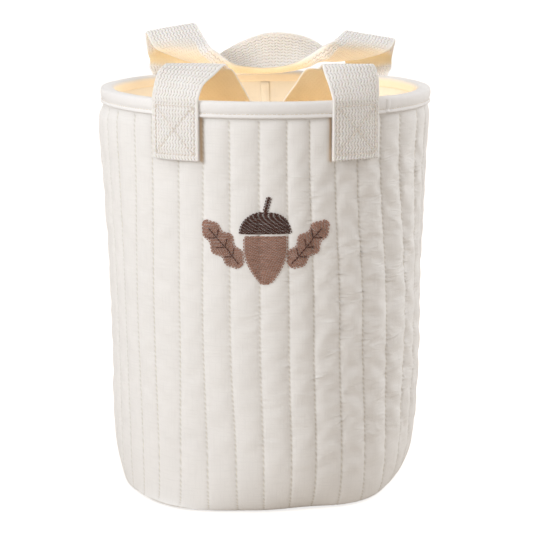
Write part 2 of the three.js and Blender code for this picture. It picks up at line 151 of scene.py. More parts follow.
def add_node(tree, kind, *values, sockets=None, output=0, stops=(), **settings):
    """Adds a shader node with its settings, and gives one of its outputs.

    values go to its first sockets and sockets to the named ones, each a link or a number. stops are
    the places and colours of a ramp.
    """
    new = tree.nodes.new("ShaderNode" + kind)
    for name, value in settings.items():
        setattr(new, name, value)
    for key, value in {**dict(enumerate(values)), **(sockets or {})}.items():
        if isinstance(value, bpy.types.NodeSocket):
            tree.links.new(value, new.inputs[key])
        else:
            new.inputs[key].default_value = value
    if stops:
        new.color_ramp.interpolation = "EASE"
        for element, (place, shade) in zip(new.color_ramp.elements, stops):
            element.position, element.color = place, shade
    return new.outputs[output] if new.outputs else new


def new_material(name, roughness, sheen=0.0, sheen_roughness=0.5):
    """A Principled material with only its plain numbers set."""
    material = bpy.data.materials.new(name)
    material.use_nodes = True
    tree = material.node_tree
    shader = tree.nodes["Principled BSDF"]
    shader.inputs["Roughness"].default_value = roughness
    shader.inputs["IOR"].default_value = 1.47
    shader.inputs["Specular IOR Level"].default_value = 0.25
    shader.inputs["Sheen Weight"].default_value = sheen
    shader.inputs["Sheen Roughness"].default_value = sheen_roughness
    return material, tree, shader


def seen_directly(tree):
    """1 for what the camera sees itself, in gloss or through glass, and 0 for the light on the bin."""
    rays = add_node(tree, "LightPath").node.outputs
    seen = add_node(tree, "Math", rays["Is Camera Ray"], rays["Is Glossy Ray"], operation="MAXIMUM")
    return add_node(tree, "Math", seen, rays["Is Transmission Ray"], operation="MAXIMUM")


def dark_and_light(shade, spread):
    """A colour made darker and lighter by a share."""
    return [c * (1 - spread) for c in shade[:3]] + [1], [min(1, c * (1 + spread)) for c in shade[:3]] + [1]


def weave(tree, across, along, pitch):
    """Over and under of a plain weave: 0 in the gaps and 1 on the yarns, for a yarn pitch in mm."""
    turn = math.pi / pitch
    warp, weft = (
        add_node(tree, "Math", add_node(tree, "Math", way, turn, operation="MULTIPLY"), operation="SINE")
        for way in (across, along)
    )
    crossing = add_node(tree, "Math", warp, weft, operation="MULTIPLY")
    high = [add_node(tree, "Math", yarn, operation="ABSOLUTE") for yarn in (warp, weft)]
    yarns = add_node(tree, "Math", *high, operation="MAXIMUM")
    return add_node(tree, "Math", crossing, 0.25, yarns, operation="MULTIPLY_ADD")


def cloth_material(name, shade, pitch, tint, slub, sheen=0.12, seam_shade=None, glow_shade=None, bias=0.0):
    """Woven cotton on the piece's UV map, in millimetres: yarns, slubs and a faint unevenness."""
    material, tree, shader = new_material(name, 0.92, sheen)
    place = add_node(tree, "UVMap")
    turned = add_node(tree, "Mapping", place, sockets={"Rotation": (0, 0, bias)})
    across, along = add_node(tree, "SeparateXYZ", turned).node.outputs[:2]
    yarns = weave(tree, across, along, pitch)
    # Slubs are thick stretches of single yarns, about 1 mm wide and 16 mm long.
    slubs = []
    for stretch in (0.9, 0.06, 1), (0.06, 0.9, 1):
        run = add_node(tree, "Mapping", turned, sockets={"Scale": stretch})
        slubs.append(add_node(tree, "TexNoise", run, sockets={"Scale": 1.0, "Detail": 3.0}))
    slubbed = add_node(tree, "Math", *slubs, operation="MAXIMUM")
    cloud = add_node(tree, "TexNoise", place, sockets={"Scale": 0.03, "Detail": 4.0})
    dark, light = dark_and_light(shade, tint)
    base = add_node(tree, "ValToRGB", cloud, stops=((0.3, dark), (0.7, light)))
    thick = add_node(tree, "ValToRGB", slubbed, stops=((0.45, WHITE), (0.75, (1 - slub,) * 3 + (1,))))
    base = add_node(
        tree, "Mix", 1.0, sockets={6: base, 7: thick}, output=2, data_type="RGBA", blend_type="MULTIPLY"
    )
    # The crease attribute mixes in painted shade along the stitch lines; the glow attribute mixes in painted
    # warm light on the binding's inner leg and painted warm shade on the wall beside the straps.
    for attribute, other in ("crease", seam_shade), ("glow", glow_shade):
        if other is not None:
            share = add_node(tree, "Attribute", output="Fac", attribute_name=attribute)
            base = add_node(tree, "Mix", share, sockets={6: base, 7: list(other)}, output=2, data_type="RGBA")
    tree.links.new(base, shader.inputs["Base Color"])
    fine = add_node(tree, "Bump", sockets={"Strength": 0.7, "Distance": 0.00006, "Height": yarns})
    rough = {"Strength": 0.5, "Distance": 0.0003, "Height": slubbed, "Normal": fine}
    tree.links.new(add_node(tree, "Bump", sockets=rough), shader.inputs["Normal"])
    return material


def thread_material(name, shade, spread, sheen=0.2, roughness=0.62):
    """Twisted sewing thread: a soft gloss, and a tone of its own for each stitch."""
    material, tree, shader = new_material(name, roughness, sheen, 0.35)
    tone = add_node(tree, "Attribute", output="Fac", attribute_name="tone")
    place = add_node(tree, "Math", tone, 0.5, 0.5, operation="MULTIPLY_ADD")
    dark, light = dark_and_light(shade, 2 * spread)
    base = add_node(tree, "ValToRGB", place, stops=((0.1, dark), (0.9, light)))
    tree.links.new(base, shader.inputs["Base Color"])
    spot = add_node(tree, "TexCoord", output="Object")
    twist = add_node(tree, "TexNoise", spot, sockets={"Scale": 2600.0, "Detail": 2.0})
    ply = {"Strength": 0.6, "Distance": 0.00008, "Height": twist}
    tree.links.new(add_node(tree, "Bump", sockets=ply), shader.inputs["Normal"])
    return material


# Shapes


def smooth(low, high, value):
    share = min(max((value - low) / (high - low), 0), 1)
    return share * share * (3 - 2 * share)


def lerp(a, b, share):
    return a + (b - a) * share


def on_tub(angle, radius, height):
    """A point by its angle from the front towards the right, its radius and height."""
    return Vector((radius * math.sin(angle), -radius * math.cos(angle), height))


def tub_angle(point):
    return math.atan2(point[0], -point[1])


def lobe(angle, centre, width):
    """1 at an angle in degrees, falling to 0 a width away."""
    away = abs((math.degrees(angle) - centre + 180) % 360 - 180) / width
    return 0.5 + 0.5 * math.cos(math.pi * min(away, 1))


# Bulges and hollows of the slack wall: angle and height, their half widths, and millimetres outwards.
BULGES = (
    (-90, 268, 60, 26, 2.9),
    (-90, 226, 60, 34, 1.5),
    (92, 276, 50, 20, 1.3),
    (90, 170, 50, 46, -0.9),
    (90, 98, 45, 36, 1.0),
    (-92, 40, 60, 44, 1.6),
    (30, 205, 22, 30, -0.7),
    (48, 118, 26, 38, 0.9),
    (180, 214, 52, 62, -2.0),
    (148, 120, 34, 52, 1.3),
    (-146, 96, 40, 48, 1.2),
    (-128, 224, 26, 34, -1.1),
)

# Foot curve by angle in degrees: extra reach in millimetres, and how square the curve is.
FOOT_LOBES = (
    (-56, 46, -9.0, 0.7),
    (-31, 30, -8.5, 0.6),
    (15, 20, 4.5, 0.0),
    (40, 22, -3.5, 0.5),
    (75, 30, 5.0, -0.1),
    (160, 60, 3.0, -0.1),
)

# How far each stitch line strays from an even spacing, in degrees, from the seventh line left of
# the middle to the thirteenth right of it: near the rim, half way down and at the foot.
LINE_STRAY = (
    (-1.2, -2.4, -0.5, -1.5, 0.3, 0.0, -0.4)
    + (0.0, -0.3, -2.2, -2.6, -3.5, -2.9, -2.2)
    + (0.9, 0.9, 0.6, 0.3, 0, 0, 0),
    (-1.8, -2.6, -3.2, -3.4, -0.8, -1.3, -0.7)
    + (0.3, 0.9, 0.3, 0.7, 0.8, 3.2, 6.8)
    + (7.2, 6.4, 5.4, 4.2, 3.0, 1.8, 0.8),
    (-1.0, -1.8, -2.4, -2.8, -2.1, -0.3, 1.1)
    + (1.6, 2.2, 1.9, 2.8, 3.8, 5.6, 6.4)
    + (6.2, 5.4, 4.4, 3.4, 2.4, 1.4, 0.6),
)
STRAY_HEIGHTS = (0.270, 0.133, 0.030)
FIRST_STRAY = -7
FIRST_LINE = math.radians(-2.2)


def line_stray(number, height):
    """The stray of a stitch line at a height, in radians."""
    top, middle, foot = (
        row[number - FIRST_STRAY] if 0 <= number - FIRST_STRAY < len(row) else 0.0 for row in LINE_STRAY
    )
    if height > STRAY_HEIGHTS[1]:
        value = lerp(middle, top, smooth(STRAY_HEIGHTS[1], STRAY_HEIGHTS[0], height))
    else:
        value = lerp(foot, middle, smooth(STRAY_HEIGHTS[2], STRAY_HEIGHTS[1], height))
    return math.radians(value)


def line_angle(sizes, number, height):
    """The angle of a stitch line, counted round the whole tub, with a slight waver."""
    count = sizes.channel_count
    near = (number + count // 2) % count - count // 2
    even = FIRST_LINE + 2 * math.pi * number / count
    waver = 0.0022 * noise.noise(Vector((near * 3.7, height * 14, 1.5)))
    return even + line_stray(near, height) + waver * smooth(0, 0.02, height)


def channel_angle(sizes, turns, height):
    """The angle at a place between stitch lines: a whole number lies on a line."""
    number = math.floor(turns)
    return lerp(line_angle(sizes, number, height), line_angle(sizes, number + 1, height), turns - number)


def wall_radius(sizes, height):
    share = (height - sizes.corner_height) / (sizes.rim_height - sizes.corner_height)
    return lerp(sizes.wall_foot_radius, sizes.wall_top_radius, max(share, 0))


def slack(angle, height):
    """How far the soft wall stands out from its even shape, in metres."""
    total = 0
    for centre, middle, wide, tall, amount in BULGES:
        rise = (height / MM - middle) / tall
        total += amount * lobe(angle, centre, wide) * math.exp(-rise * rise)
    return total * MM * (1 - smooth(0.274, 0.2845, height))


def foot_curve(sizes, angle):
    """Reach and squareness of the foot curve at an angle."""
    reach, square = sizes.corner_reach, 2.0
    for centre, wide, more, squarer in FOOT_LOBES:
        share = lobe(angle, centre, wide)
        reach += more * share * MM
        square += squarer * share
    return reach, square


def straight_length(sizes):
    return sizes.rim_height - BINDING_TAPE - sizes.corner_height


def wall_length(sizes):
    """Length of the wall's line from under the binding to the base seam."""
    return straight_length(sizes) + CORNER_LINE


def wall_place(sizes, angle, line, depth=0.0):
    """Radius and height of the wall at a length down its line, and its outward direction."""
    straight = straight_length(sizes)
    if line <= straight:
        height = sizes.corner_height + straight - line
        return wall_radius(sizes, height) + slack(angle, height) - depth, height, Vector((1, 0))
    reach, square = foot_curve(sizes, angle)
    turn = min((line - straight) / (wall_length(sizes) - straight), 1) * math.pi / 2
    base = sizes.wall_foot_radius - reach
    tall = sizes.corner_height - sizes.seam_lift
    across = max(math.cos(turn), 0) ** (2 / square)
    down = math.sin(turn) ** (2 / square)
    out = Vector((tall * math.cos(turn), -reach * math.sin(turn))).normalized()
    height = sizes.corner_height - tall * down
    radius = base + reach * across + slack(angle, height) * smooth(0, 0.02, height)
    return radius - depth * out.x, height - depth * out.y, out


# Meshes


def finish_mesh(name, bm, *materials):
    """Turns a bmesh into an object at the origin, smooth and facing outwards."""
    bmesh.ops.recalc_face_normals(bm, faces=bm.faces)
    mesh = bpy.data.meshes.new(name)
    bm.to_mesh(mesh)
    bm.free()
    mesh.shade_smooth()
    for material in materials:
        mesh.materials.append(material)
    piece = bpy.data.objects.new(name, mesh)
    bpy.context.scene.collection.objects.link(piece)
    return piece


def hand_in(piece, slot, *nodes, body="bag"):
    """Rides a piece on its body and hides the CAD nodes that it stands for. The slot is not used."""
    if body:
        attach(piece, body)
    if nodes:
        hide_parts(*nodes)


def spun(section, steps, start=0.0, closed=True):
    """A section of (radius, height) turned about Z. Its points keep their number as a row.

    It is a grid rolled round the axis. The spin operator numbers its points differently each time,
    and the cloth simulation would then fold differently each time too.
    """
    count = len(section)
    spans = count if closed else count - 1
    bm = bmesh.new()
    row = bm.verts.layers.int.new("row")
    bmesh.ops.create_grid(bm, x_segments=steps, y_segments=spans, size=0.5)
    for vert in bm.verts:
        column = round((vert.co.x + 0.5) * steps) % steps
        vert[row] = round((vert.co.y + 0.5) * spans) % count
        vert.co = on_tub(start + 2 * math.pi * column / steps, *section[vert[row]])
    bmesh.ops.remove_doubles(bm, verts=bm.verts, dist=1e-6)
    return bm, row


def apply_modifiers(piece):
    """Replaces a piece's mesh by its evaluated one."""
    depsgraph = bpy.context.evaluated_depsgraph_get()
    shape = piece.evaluated_get(depsgraph)
    mesh = bpy.data.meshes.new_from_object(shape, preserve_all_data_layers=True, depsgraph=depsgraph)
    old = piece.data
    piece.modifiers.clear()
    piece.data = mesh
    bpy.data.meshes.remove(old)
    mesh.name = piece.name


def thicken(piece, thickness=CLOTH_THICKNESS, offset=0.0):
    wall = piece.modifiers.new("Cloth thickness", "SOLIDIFY")
    wall.thickness = thickness
    wall.offset = offset


def map_flat(bm):
    """A UV map in millimetres for a cloth that lies flat."""
    flat = bm.loops.layers.uv.new("UVMap")
    for face in bm.faces:
        for corner in face.loops:
            corner[flat].uv = (corner.vert.co.x / MM, corner.vert.co.y / MM)


def close_ring(bm, row, number):
    """Fills the open edge of a spun shape whose points have that row number."""
    ring = [e for e in bm.edges if e.is_boundary and all(v[row] == number for v in e.verts)]
    bmesh.ops.holes_fill(bm, edges=ring, sides=0)


def points_of(mesh):
    points = np.empty(len(mesh.vertices) * 3, dtype=np.float32)
    mesh.vertices.foreach_get("co", points)
    return points.reshape(-1, 3)


def set_points(mesh, points):
    mesh.vertices.foreach_set("co", np.asarray(points, dtype=np.float32).ravel())
    mesh.update()


def normals_of(mesh):
    normals = np.empty(len(mesh.vertices) * 3, dtype=np.float32)
    mesh.vertex_normals.foreach_get("vector", normals)
    return normals.reshape(-1, 3)


def attribute_of(mesh, name):
    values = np.empty(len(mesh.vertices), dtype=np.float32)
    mesh.attributes[name].data.foreach_get("value", values)
    return values


def set_attribute(mesh, name, values):
    store = mesh.attributes.get(name) or mesh.attributes.new(name, "FLOAT", "POINT")
    store.data.foreach_set("value", np.asarray(values, dtype=np.float32))


def map_tub(mesh, lines):
    """A UV map in millimetres: round the tub by angle, and down its line."""
    points = points_of(mesh)
    angles = np.arctan2(points[:, 0], -points[:, 1])
    corners = np.empty(len(mesh.loops), dtype=np.int32)
    mesh.loops.foreach_get("vertex_index", corners)
    starts = np.empty(len(mesh.polygons), dtype=np.int32)
    mesh.polygons.foreach_get("loop_start", starts)
    counts = np.diff(np.append(starts, len(corners)))
    turned = angles[corners]
    first = np.repeat(turned[starts], counts)
    turned = turned + 2 * np.pi * np.round((first - turned) / (2 * np.pi))
    layer = mesh.uv_layers.get("UVMap") or mesh.uv_layers.new(name="UVMap")
    around = turned * MAP_RADIUS
    layer.data.foreach_set("uv", np.stack([around, np.asarray(lines)[corners]], axis=1).ravel())


def simulate_cloth(piece, held, frames, pressure, growth, cap, stiff=12.0, bend=0.6, keep=None):
    """Swells a piece as cloth that is longer than its stitches, and keeps a share of the result."""
    start = points_of(piece.data)
    group = piece.vertex_groups.new(name="held")
    for number, weight in enumerate(held):
        if weight > 0:
            group.add([number], float(weight), "REPLACE")
    cloth = piece.modifiers.new("Cloth", "CLOTH")
    settings = cloth.settings
    settings.quality = 6
    settings.mass = 0.2
    settings.tension_stiffness = stiff
    settings.compression_stiffness = stiff
    settings.shear_stiffness = stiff / 2
    settings.bending_stiffness = bend
    settings.use_pressure = True
    settings.uniform_pressure_force = pressure
    settings.vertex_group_mass = group.name
    settings.pin_stiffness = 1.0
    settings.shrink_min = -growth
    settings.effector_weights.gravity = 0
    cloth.collision_settings.use_collision = False
    cloth.point_cache.frame_start = 1
    cloth.point_cache.frame_end = frames
    scene = bpy.context.scene
    for number in range(1, frames + 1):
        scene.frame_set(number)
    shape = piece.evaluated_get(bpy.context.evaluated_depsgraph_get())
    moved = points_of(shape.data) - start
    far = np.linalg.norm(moved, axis=1, keepdims=True)
    limit = np.minimum(1, cap / np.maximum(far, 1e-9))
    piece.modifiers.remove(cloth)
    piece.vertex_groups.clear()
    scene.frame_set(1)
    if keep is not None:
        moved *= np.asarray(keep)[:, None]
    set_points(piece.data, start + moved * limit)
    return float(far.max())


def stamped(name, template, places, tones, *materials):
    """Copies of a small closed shape as one mesh, one for each matrix, with a tone for each copy."""
    shape = np.array([vert.co[:] for vert in template.verts])
    faces = [[vert.index for vert in face.verts] for face in template.faces]
    template.free()
    turns = np.array([[row[:] for row in place] for place in places])
    points = np.einsum("nij,vj->nvi", turns[:, :3, :3], shape) + turns[:, None, :3, 3]
    size = len(shape)
    mesh = bpy.data.meshes.new(name)
    all_faces = [[v + size * i for v in face] for i in range(len(places)) for face in faces]
    mesh.from_pydata(points.reshape(-1, 3).tolist(), [], all_faces)
    mesh.shade_smooth()
    set_attribute(mesh, "tone", np.repeat(np.asarray(tones, dtype=np.float32), size))
    for material in materials:
        mesh.materials.append(material)
    piece = bpy.data.objects.new(name, mesh)
    bpy.context.scene.collection.objects.link(piece)
    return piece


def stitch_shape(segments=6, rings=4):
    """One stitch of unit half length along X and unit half width."""
    bm = bmesh.new()
    bmesh.ops.create_uvsphere(bm, u_segments=segments, v_segments=rings, radius=1)
    bmesh.ops.rotate(bm, verts=bm.verts, cent=(0, 0, 0), matrix=Matrix.Rotation(math.pi / 2, 3, "Y"))
    for vert in bm.verts:
        vert.co.x = math.copysign(abs(vert.co.x) ** 0.7, vert.co.x) if vert.co.x else 0
    bmesh.ops.recalc_face_normals(bm, faces=bm.faces)
    bm.verts.index_update()
    return bm


def stitch_place(start, end, normal, half_width, half_height):
    """The matrix that lays a stitch between two points, on a surface with that normal."""
    run = end - start
    along = run.normalized()
    side = normal.cross(along).normalized()
    up = along.cross(side)
    middle = (start + end) / 2
    turn = Matrix((along * run.length / 2, side * half_width, up * half_height)).transposed()
    return Matrix.Translation(middle) @ turn.to_4x4()


def skin(*names):
    """Trees to find the outer face of finished pieces."""
    depsgraph = bpy.context.evaluated_depsgraph_get()
    return [BVHTree.FromObject(bpy.data.objects[name], depsgraph) for name in names]


def skin_point(trees, angle, height):
    """The outermost point of the pieces at an angle and height, seen from outside, and its normal."""
    start = on_tub(angle, 0.2, height)
    inward = on_tub(angle, -1, 0)
    hits = [tree.ray_cast(start, inward, 0.16) for tree in trees]
    hits = [hit for hit in hits if hit[0] is not None]
    if not hits:
        raise RuntimeError("no cloth at angle %.3f and height %.4f" % (angle, height))
    nearest = min(hits, key=lambda hit: hit[3])
    return nearest[0], nearest[1]


# Stage


CAMERA_PLACE = (0, -1.302, 0.422)
CAMERA_TILT = math.radians(78.54)
CAMERA_LENS = 119.0
CAMERA_SHIFT = 0.0019

# Soft lamps: name, place, height they aim at, size, power and tint.
LAMPS = (
    ("key_lamp", (-1.4, -1.05, 0.8), 0.15, 0.8, 13.3, (0.9, 0.95, 1)),
    ("side_lamp", (1.4, 0.65, 0.8), 0.15, 1.0, 11.6, (0.92, 0.96, 1)),
    ("top_lamp", (-0.3, -0.9, 1.5), 0.15, 0.7, 2.8, (1, 1, 1)),
)
# A lamp in the bin stands for the daylight that comes through its walls.
INSIDE_PLACE = (0, 0, 0.19)
INSIDE_SIZE = 0.05
INSIDE_POWER = 0.225
INSIDE_TINT = (1, 0.93, 0.82)

WORLD_POWER = 0.61
WORLD_TINT = (1.0, 0.972, 0.945, 1)
FLOOR_WHITE = 0.76  # what the floor adds for the camera, so that its paper shows white
FLOOR_HALF, FLOOR_BACK, FLOOR_LOW = 3.5, 2.2, -0.0005
BACKDROP_BEND = 0.8


class BIN_OT_stage(bpy.types.Operator):
    """Add the camera, the soft lamps and the white floor with its backdrop"""

    bl_idname = "storage_bin.stage"
    bl_label = "Stage"

    def execute(self, context):
        scene = context.scene
        camera = bpy.data.cameras.new("photo_camera")
        camera.sensor_width = 36
        camera.lens = CAMERA_LENS
        camera.shift_x = CAMERA_SHIFT
        eye = bpy.data.objects.new("photo_camera", camera)
        eye.location = CAMERA_PLACE
        eye.rotation_euler = (CAMERA_TILT, 0, 0)
        scene.collection.objects.link(eye)
        scene.camera = eye

        for name, place, height, size, power, tint in LAMPS:
            lamp = bpy.data.lights.new(name, "AREA")
            lamp.shape = "DISK"
            lamp.size = size
            holder = self.hang(scene, lamp, place, power, tint)
            aim = Vector((0, 0, height)) - Vector(place)
            holder.rotation_euler = aim.to_track_quat("-Z", "Y").to_euler()
        lamp = bpy.data.lights.new("inside_lamp", "POINT")
        lamp.shadow_soft_size = INSIDE_SIZE
        self.hang(scene, lamp, INSIDE_PLACE, INSIDE_POWER, INSIDE_TINT)

        world = bpy.data.worlds.new("studio_white")
        world.use_nodes = True
        tree = world.node_tree
        tree.nodes.clear()
        seen = seen_directly(tree)
        strength = add_node(tree, "Math", seen, 1 - WORLD_POWER, WORLD_POWER, operation="MULTIPLY_ADD")
        light = add_node(tree, "Mix", seen, sockets={6: WORLD_TINT, 7: WHITE}, output=2, data_type="RGBA")
        add_node(tree, "OutputWorld", add_node(tree, "Background", light, strength))
        scene.world = world

        bm = bmesh.new()
        corners = (-FLOOR_HALF, FLOOR_LOW), (FLOOR_BACK, FLOOR_LOW), (3.0, 3.0)
        verts = [bm.verts.new((-FLOOR_HALF, deep, high)) for deep, high in corners]
        edges = [bm.edges.new(pair) for pair in zip(verts, verts[1:])]
        wide = bmesh.ops.extrude_edge_only(bm, edges=edges)["geom"]
        new = [item for item in wide if isinstance(item, bmesh.types.BMVert)]
        bmesh.ops.translate(bm, verts=new, vec=(2 * FLOOR_HALF, 0, 0))
        inner = [e for e in bm.edges if all(abs(v.co.y - FLOOR_BACK) < 1e-4 for v in e.verts)]
        bmesh.ops.bevel(
            bm, geom=inner, offset=BACKDROP_BEND, segments=12, profile=0.5, affect="EDGES", material=-1
        )
        # Rolled paper without any gloss, so that only its shade and the bin's shadow show.
        material, tree, shader = new_material("Matt white paper, rolled", 1.0)
        shader.inputs["Base Color"].default_value = context.scene.bin_colours.floor
        shader.inputs["Specular IOR Level"].default_value = 0.0
        white = add_node(tree, "Math", seen_directly(tree), FLOOR_WHITE, operation="MULTIPLY")
        tree.links.new(white, shader.inputs["Emission Strength"])
        shader.inputs["Emission Color"].default_value = WHITE
        floor = finish_mesh("studio_floor", bm, material)
        for polygon in floor.data.polygons:
            if polygon.normal.z < -0.01:
                floor.data.flip_normals()
                break
        scene.view_settings.view_transform = "Standard"
        return {"FINISHED"}

    def hang(self, scene, lamp, place, power, tint):
        """Puts a lamp in its place, unseen by the camera."""
        lamp.energy = power
        lamp.color = tint
        holder = bpy.data.objects.new(lamp.name, lamp)
        holder.location = place
        holder.visible_camera = False
        scene.collection.objects.link(holder)
        return holder


# Wall

POINTS_A_CHANNEL = 6
INNER_ROWS = 12
PUFF_FRAMES, PUFF_PRESSURE, PUFF_GROWTH, PUFF_CAP = 14, 3.0, 0.03, 0.0030
# Turn, stretch and depth in metres of the two layers of gathers.
PUCKER_LAYERS = (0.2, (0.05, 0.15, 1), 0.0005), (-0.4, (0.034, 0.1, 1), 0.0007)
# The part of the wall that gathers most: middle and half width in degrees, and how much.
GATHERED = (48, 62, 1), (170, 90, 0.6), (-120, 60, 0.5)
# Warm shade beside a front strap: millimetres from the strap's edge, half width, and how much.
SHADE_AWAY, SHADE_WIDE, SHADE_AMOUNT = 0.2, 1.1, 0.8
# Heights between which the puff ends under the binding, and between which it grows above the foot.
PUFF_END, PUFF_START = (0.276, 0.284), (0.001, 0.055)
CROWDING = 0.045  # draws the mesh's columns towards the stitch lines
CHANNEL_WIDE = 20  # millimetres across a channel
BOUND = 11  # millimetres of the wall that the binding hides
RIPPLE = 0.0004
# Stitch lines: half width of the groove and of the dip beside it, and millimetres pulled down in
# the groove, at the holes and in the dip.
GROOVE, DIP = 0.75, 2.4
GROOVE_DEPTH, HOLE_DEPTH, DIP_DEPTH = 0.3, 0.25, 0.1


class BIN_OT_quilted_wall(bpy.types.Operator):
    """Add the wall: wadded channels that swell between stitch lines, with puckers and stitch holes"""

    bl_idname = "storage_bin.quilted_wall"
    bl_label = "Quilted wall"

    def execute(self, context):
        sizes = context.scene.bin_sizes
        colours = context.scene.bin_colours
        per = POINTS_A_CHANNEL
        pitch = sizes.stitch_pitch
        total = wall_length(sizes)
        rows = round(total / pitch)
        lines = [total * i / rows for i in range(rows + 1)]
        lines += [total * (1 - i / INNER_ROWS) for i in range(INNER_ROWS + 1)]
        depths = [0 if number <= rows else sizes.wall_depth for number in range(len(lines))]
        section = [
            wall_place(sizes, math.pi / 2, line, depth)[:2] for line, depth in zip(lines, depths)
        ]
        columns = sizes.channel_count * per
        bm, row = spun(section, columns, FIRST_LINE)
        step = 2 * math.pi / columns
        gaps = bm.verts.layers.float.new("gap")
        downs = bm.verts.layers.float.new("line")
        sides = bm.verts.layers.float.new("outside")
        held = []
        for vert in bm.verts:
            number = vert[row]
            line = lines[number]
            outside = number <= rows
            column = round((tub_angle(vert.co) - FIRST_LINE) / step) % columns
            channel, place = divmod(column, per)
            share = place / per
            share -= CROWDING * math.sin(2 * math.pi * share)
            height = sizes.rim_height - line
            angle = channel_angle(sizes, channel + share, max(height, 0))
            radius, height, out = wall_place(sizes, angle, line, depths[number])
            height = max(height, INNER_LIFT)
            if outside:
                top = 1 - 0.8 * smooth(*PUFF_END, height)
                foot = smooth(*PUFF_START, height)
                puff = sizes.channel_puff * math.sin(math.pi * share) ** 0.7 * top * foot
                ripple = noise.noise(Vector((angle * 6, line * 70, channel * 0.37)))
                puff += RIPPLE * ripple * math.sin(math.pi * share) * top * foot
                radius += puff * out.x
                height += puff * out.y
            vert.co = on_tub(angle, radius, height)
            vert[gaps] = min(share, 1 - share) * CHANNEL_WIDE
            vert[downs] = line / MM
            vert[sides] = 1.0 if outside else 0.0
            edge = not outside or place == 0 or line < sizes.binding_depth or number == rows
            held.append(1.0 if edge else 0.0)
        # Unbleached cotton, washed once: matt, with a faint weave, slubs and a slight sheen of fibres.
        material = cloth_material(
            "Cotton plain weave, quilted",
            colours.quilt,
            QUILT_YARN,
            0.012,
            0.035,
            seam_shade=colours.quilt_seam_shade,
            glow_shade=colours.webbing_shade,
        )
        self.pucker(material)
        piece = finish_mesh("quilted_wall", bm, material)
        keep = [self.busy(point) for point in points_of(piece.data)]
        far = simulate_cloth(
            piece, held, PUFF_FRAMES, PUFF_PRESSURE, PUFF_GROWTH, PUFF_CAP, keep=keep
        )
        print("quilted_wall moved at most %.2f mm" % (far / MM))
        piece.modifiers.new("Smooth", "SUBSURF").levels = 1
        piece.modifiers["Smooth"].render_levels = 1
        apply_modifiers(piece)
        self.sew(piece.data, pitch / MM)
        shades = [self.shade(context.scene, point) for point in points_of(piece.data)]
        set_attribute(piece.data, "glow", shades)
        hand_in(piece, "quilted_cotton", "outer_wall", "wall_wadding")
        return {"FINISHED"}

    def sew(self, mesh, pitch):
        """Pulls the cloth down along the stitch lines, most at the holes between two stitches."""
        points = points_of(mesh)
        normals = normals_of(mesh)
        gap = attribute_of(mesh, "gap")
        line = attribute_of(mesh, "line")
        outside = attribute_of(mesh, "outside")
        outside = (outside > 0.6) & (line > BOUND) & (line < line.max() - 1)
        hole = 0.5 - 0.5 * np.cos(2 * np.pi * line / pitch)
        near = np.exp(-((gap / GROOVE) ** 2))
        wide = np.exp(-((gap / DIP) ** 2))
        depth = GROOVE_DEPTH * near + HOLE_DEPTH * near * hole
        depth = depth + DIP_DEPTH * wide * np.cos(np.pi * line / pitch)
        creases = np.array([self.crease(point) for point in points])
        depth = np.where(outside, depth - creases * (1 - near), 0)
        set_points(mesh, points - normals * depth[:, None] * MM)
        busy = np.array([self.busy(point) for point in points])
        set_attribute(mesh, "busy", np.where(outside, busy * (0.35 + 0.65 * wide), 0))
        # Painted shade in the stitch grooves, darkest at the holes, carried by the crease attribute.
        set_attribute(mesh, "crease", np.where(outside, near * (0.04 + 0.34 * hole), 0))
        map_tub(mesh, line)

    def shade(self, scene, point):
        """The warm shade on the wall beside the inner edge of a front strap."""
        sizes, handles = scene.bin_sizes, scene.handle_sizes
        foot = sizes.rim_height - handles.sewn_depth
        inner_face = math.hypot(point[0], point[1]) < sizes.wall_top_radius - 0.003
        if point[1] > 0 or point[2] < foot - 0.003 or inner_face:
            return 0.0
        half = handles.width / 2 / seat_radius(sizes, handles)
        high = smooth(foot - 0.002, foot, point[2])
        shade = 0.0
        for left in (True, False):
            away = tub_angle(point) - strap_turn(sizes, handles, FRONT, left)
            away = (away if left else -away) - half
            away *= sizes.rim_radius / MM
            shade = max(shade, math.exp(-(((away - SHADE_AWAY) / SHADE_WIDE) ** 2)) * high)
        return SHADE_AMOUNT * shade

    def pucker(self, material):
        """Sharp little gathers that run away from the stitch lines, too fine for the mesh."""
        tree = material.node_tree
        shader = tree.nodes["Principled BSDF"]
        place = add_node(tree, "UVMap")
        under = shader.inputs["Normal"].links[0].from_socket
        busy = add_node(tree, "Attribute", output="Fac", attribute_name="busy")
        spots = add_node(tree, "TexNoise", place, sockets={"Scale": 0.045, "Detail": 1.0})
        spots = add_node(tree, "ValToRGB", spots, stops=((0.38, (0.1, 0.1, 0.1, 1)), (0.66, WHITE)))
        busy = add_node(tree, "Math", busy, spots, operation="MULTIPLY")
        for turn, scale, depth in PUCKER_LAYERS:
            run = add_node(tree, "Mapping", place, sockets={"Rotation": (0, 0, turn), "Scale": scale})
            fold = add_node(tree, "TexNoise", run, sockets={"Scale": 1.0, "Detail": 1.0})
            fold = add_node(tree, "Math", fold, 0.5, operation="SUBTRACT")
            fold = add_node(tree, "Math", fold, operation="ABSOLUTE")
            fold = add_node(tree, "ValToRGB", fold, stops=((0.0, WHITE), (0.1, (0, 0, 0, 1))))
            fold = add_node(tree, "Math", fold, busy, operation="MULTIPLY")
            under = add_node(
                tree, "Bump", sockets={"Strength": 1.0, "Distance": depth, "Height": fold, "Normal": under}
            )
        tree.links.new(under, shader.inputs["Normal"])

    def busy(self, point):
        """How strongly the cloth is puckered at a place on the wall."""
        angle = tub_angle(point)
        height = point[2]
        busy = 0.25 + 0.75 * max(amount * lobe(angle, middle, wide) for middle, wide, amount in GATHERED)
        return busy * smooth(0.0, 0.05, height) * (1 - 0.6 * smooth(0.24, 0.28, height))

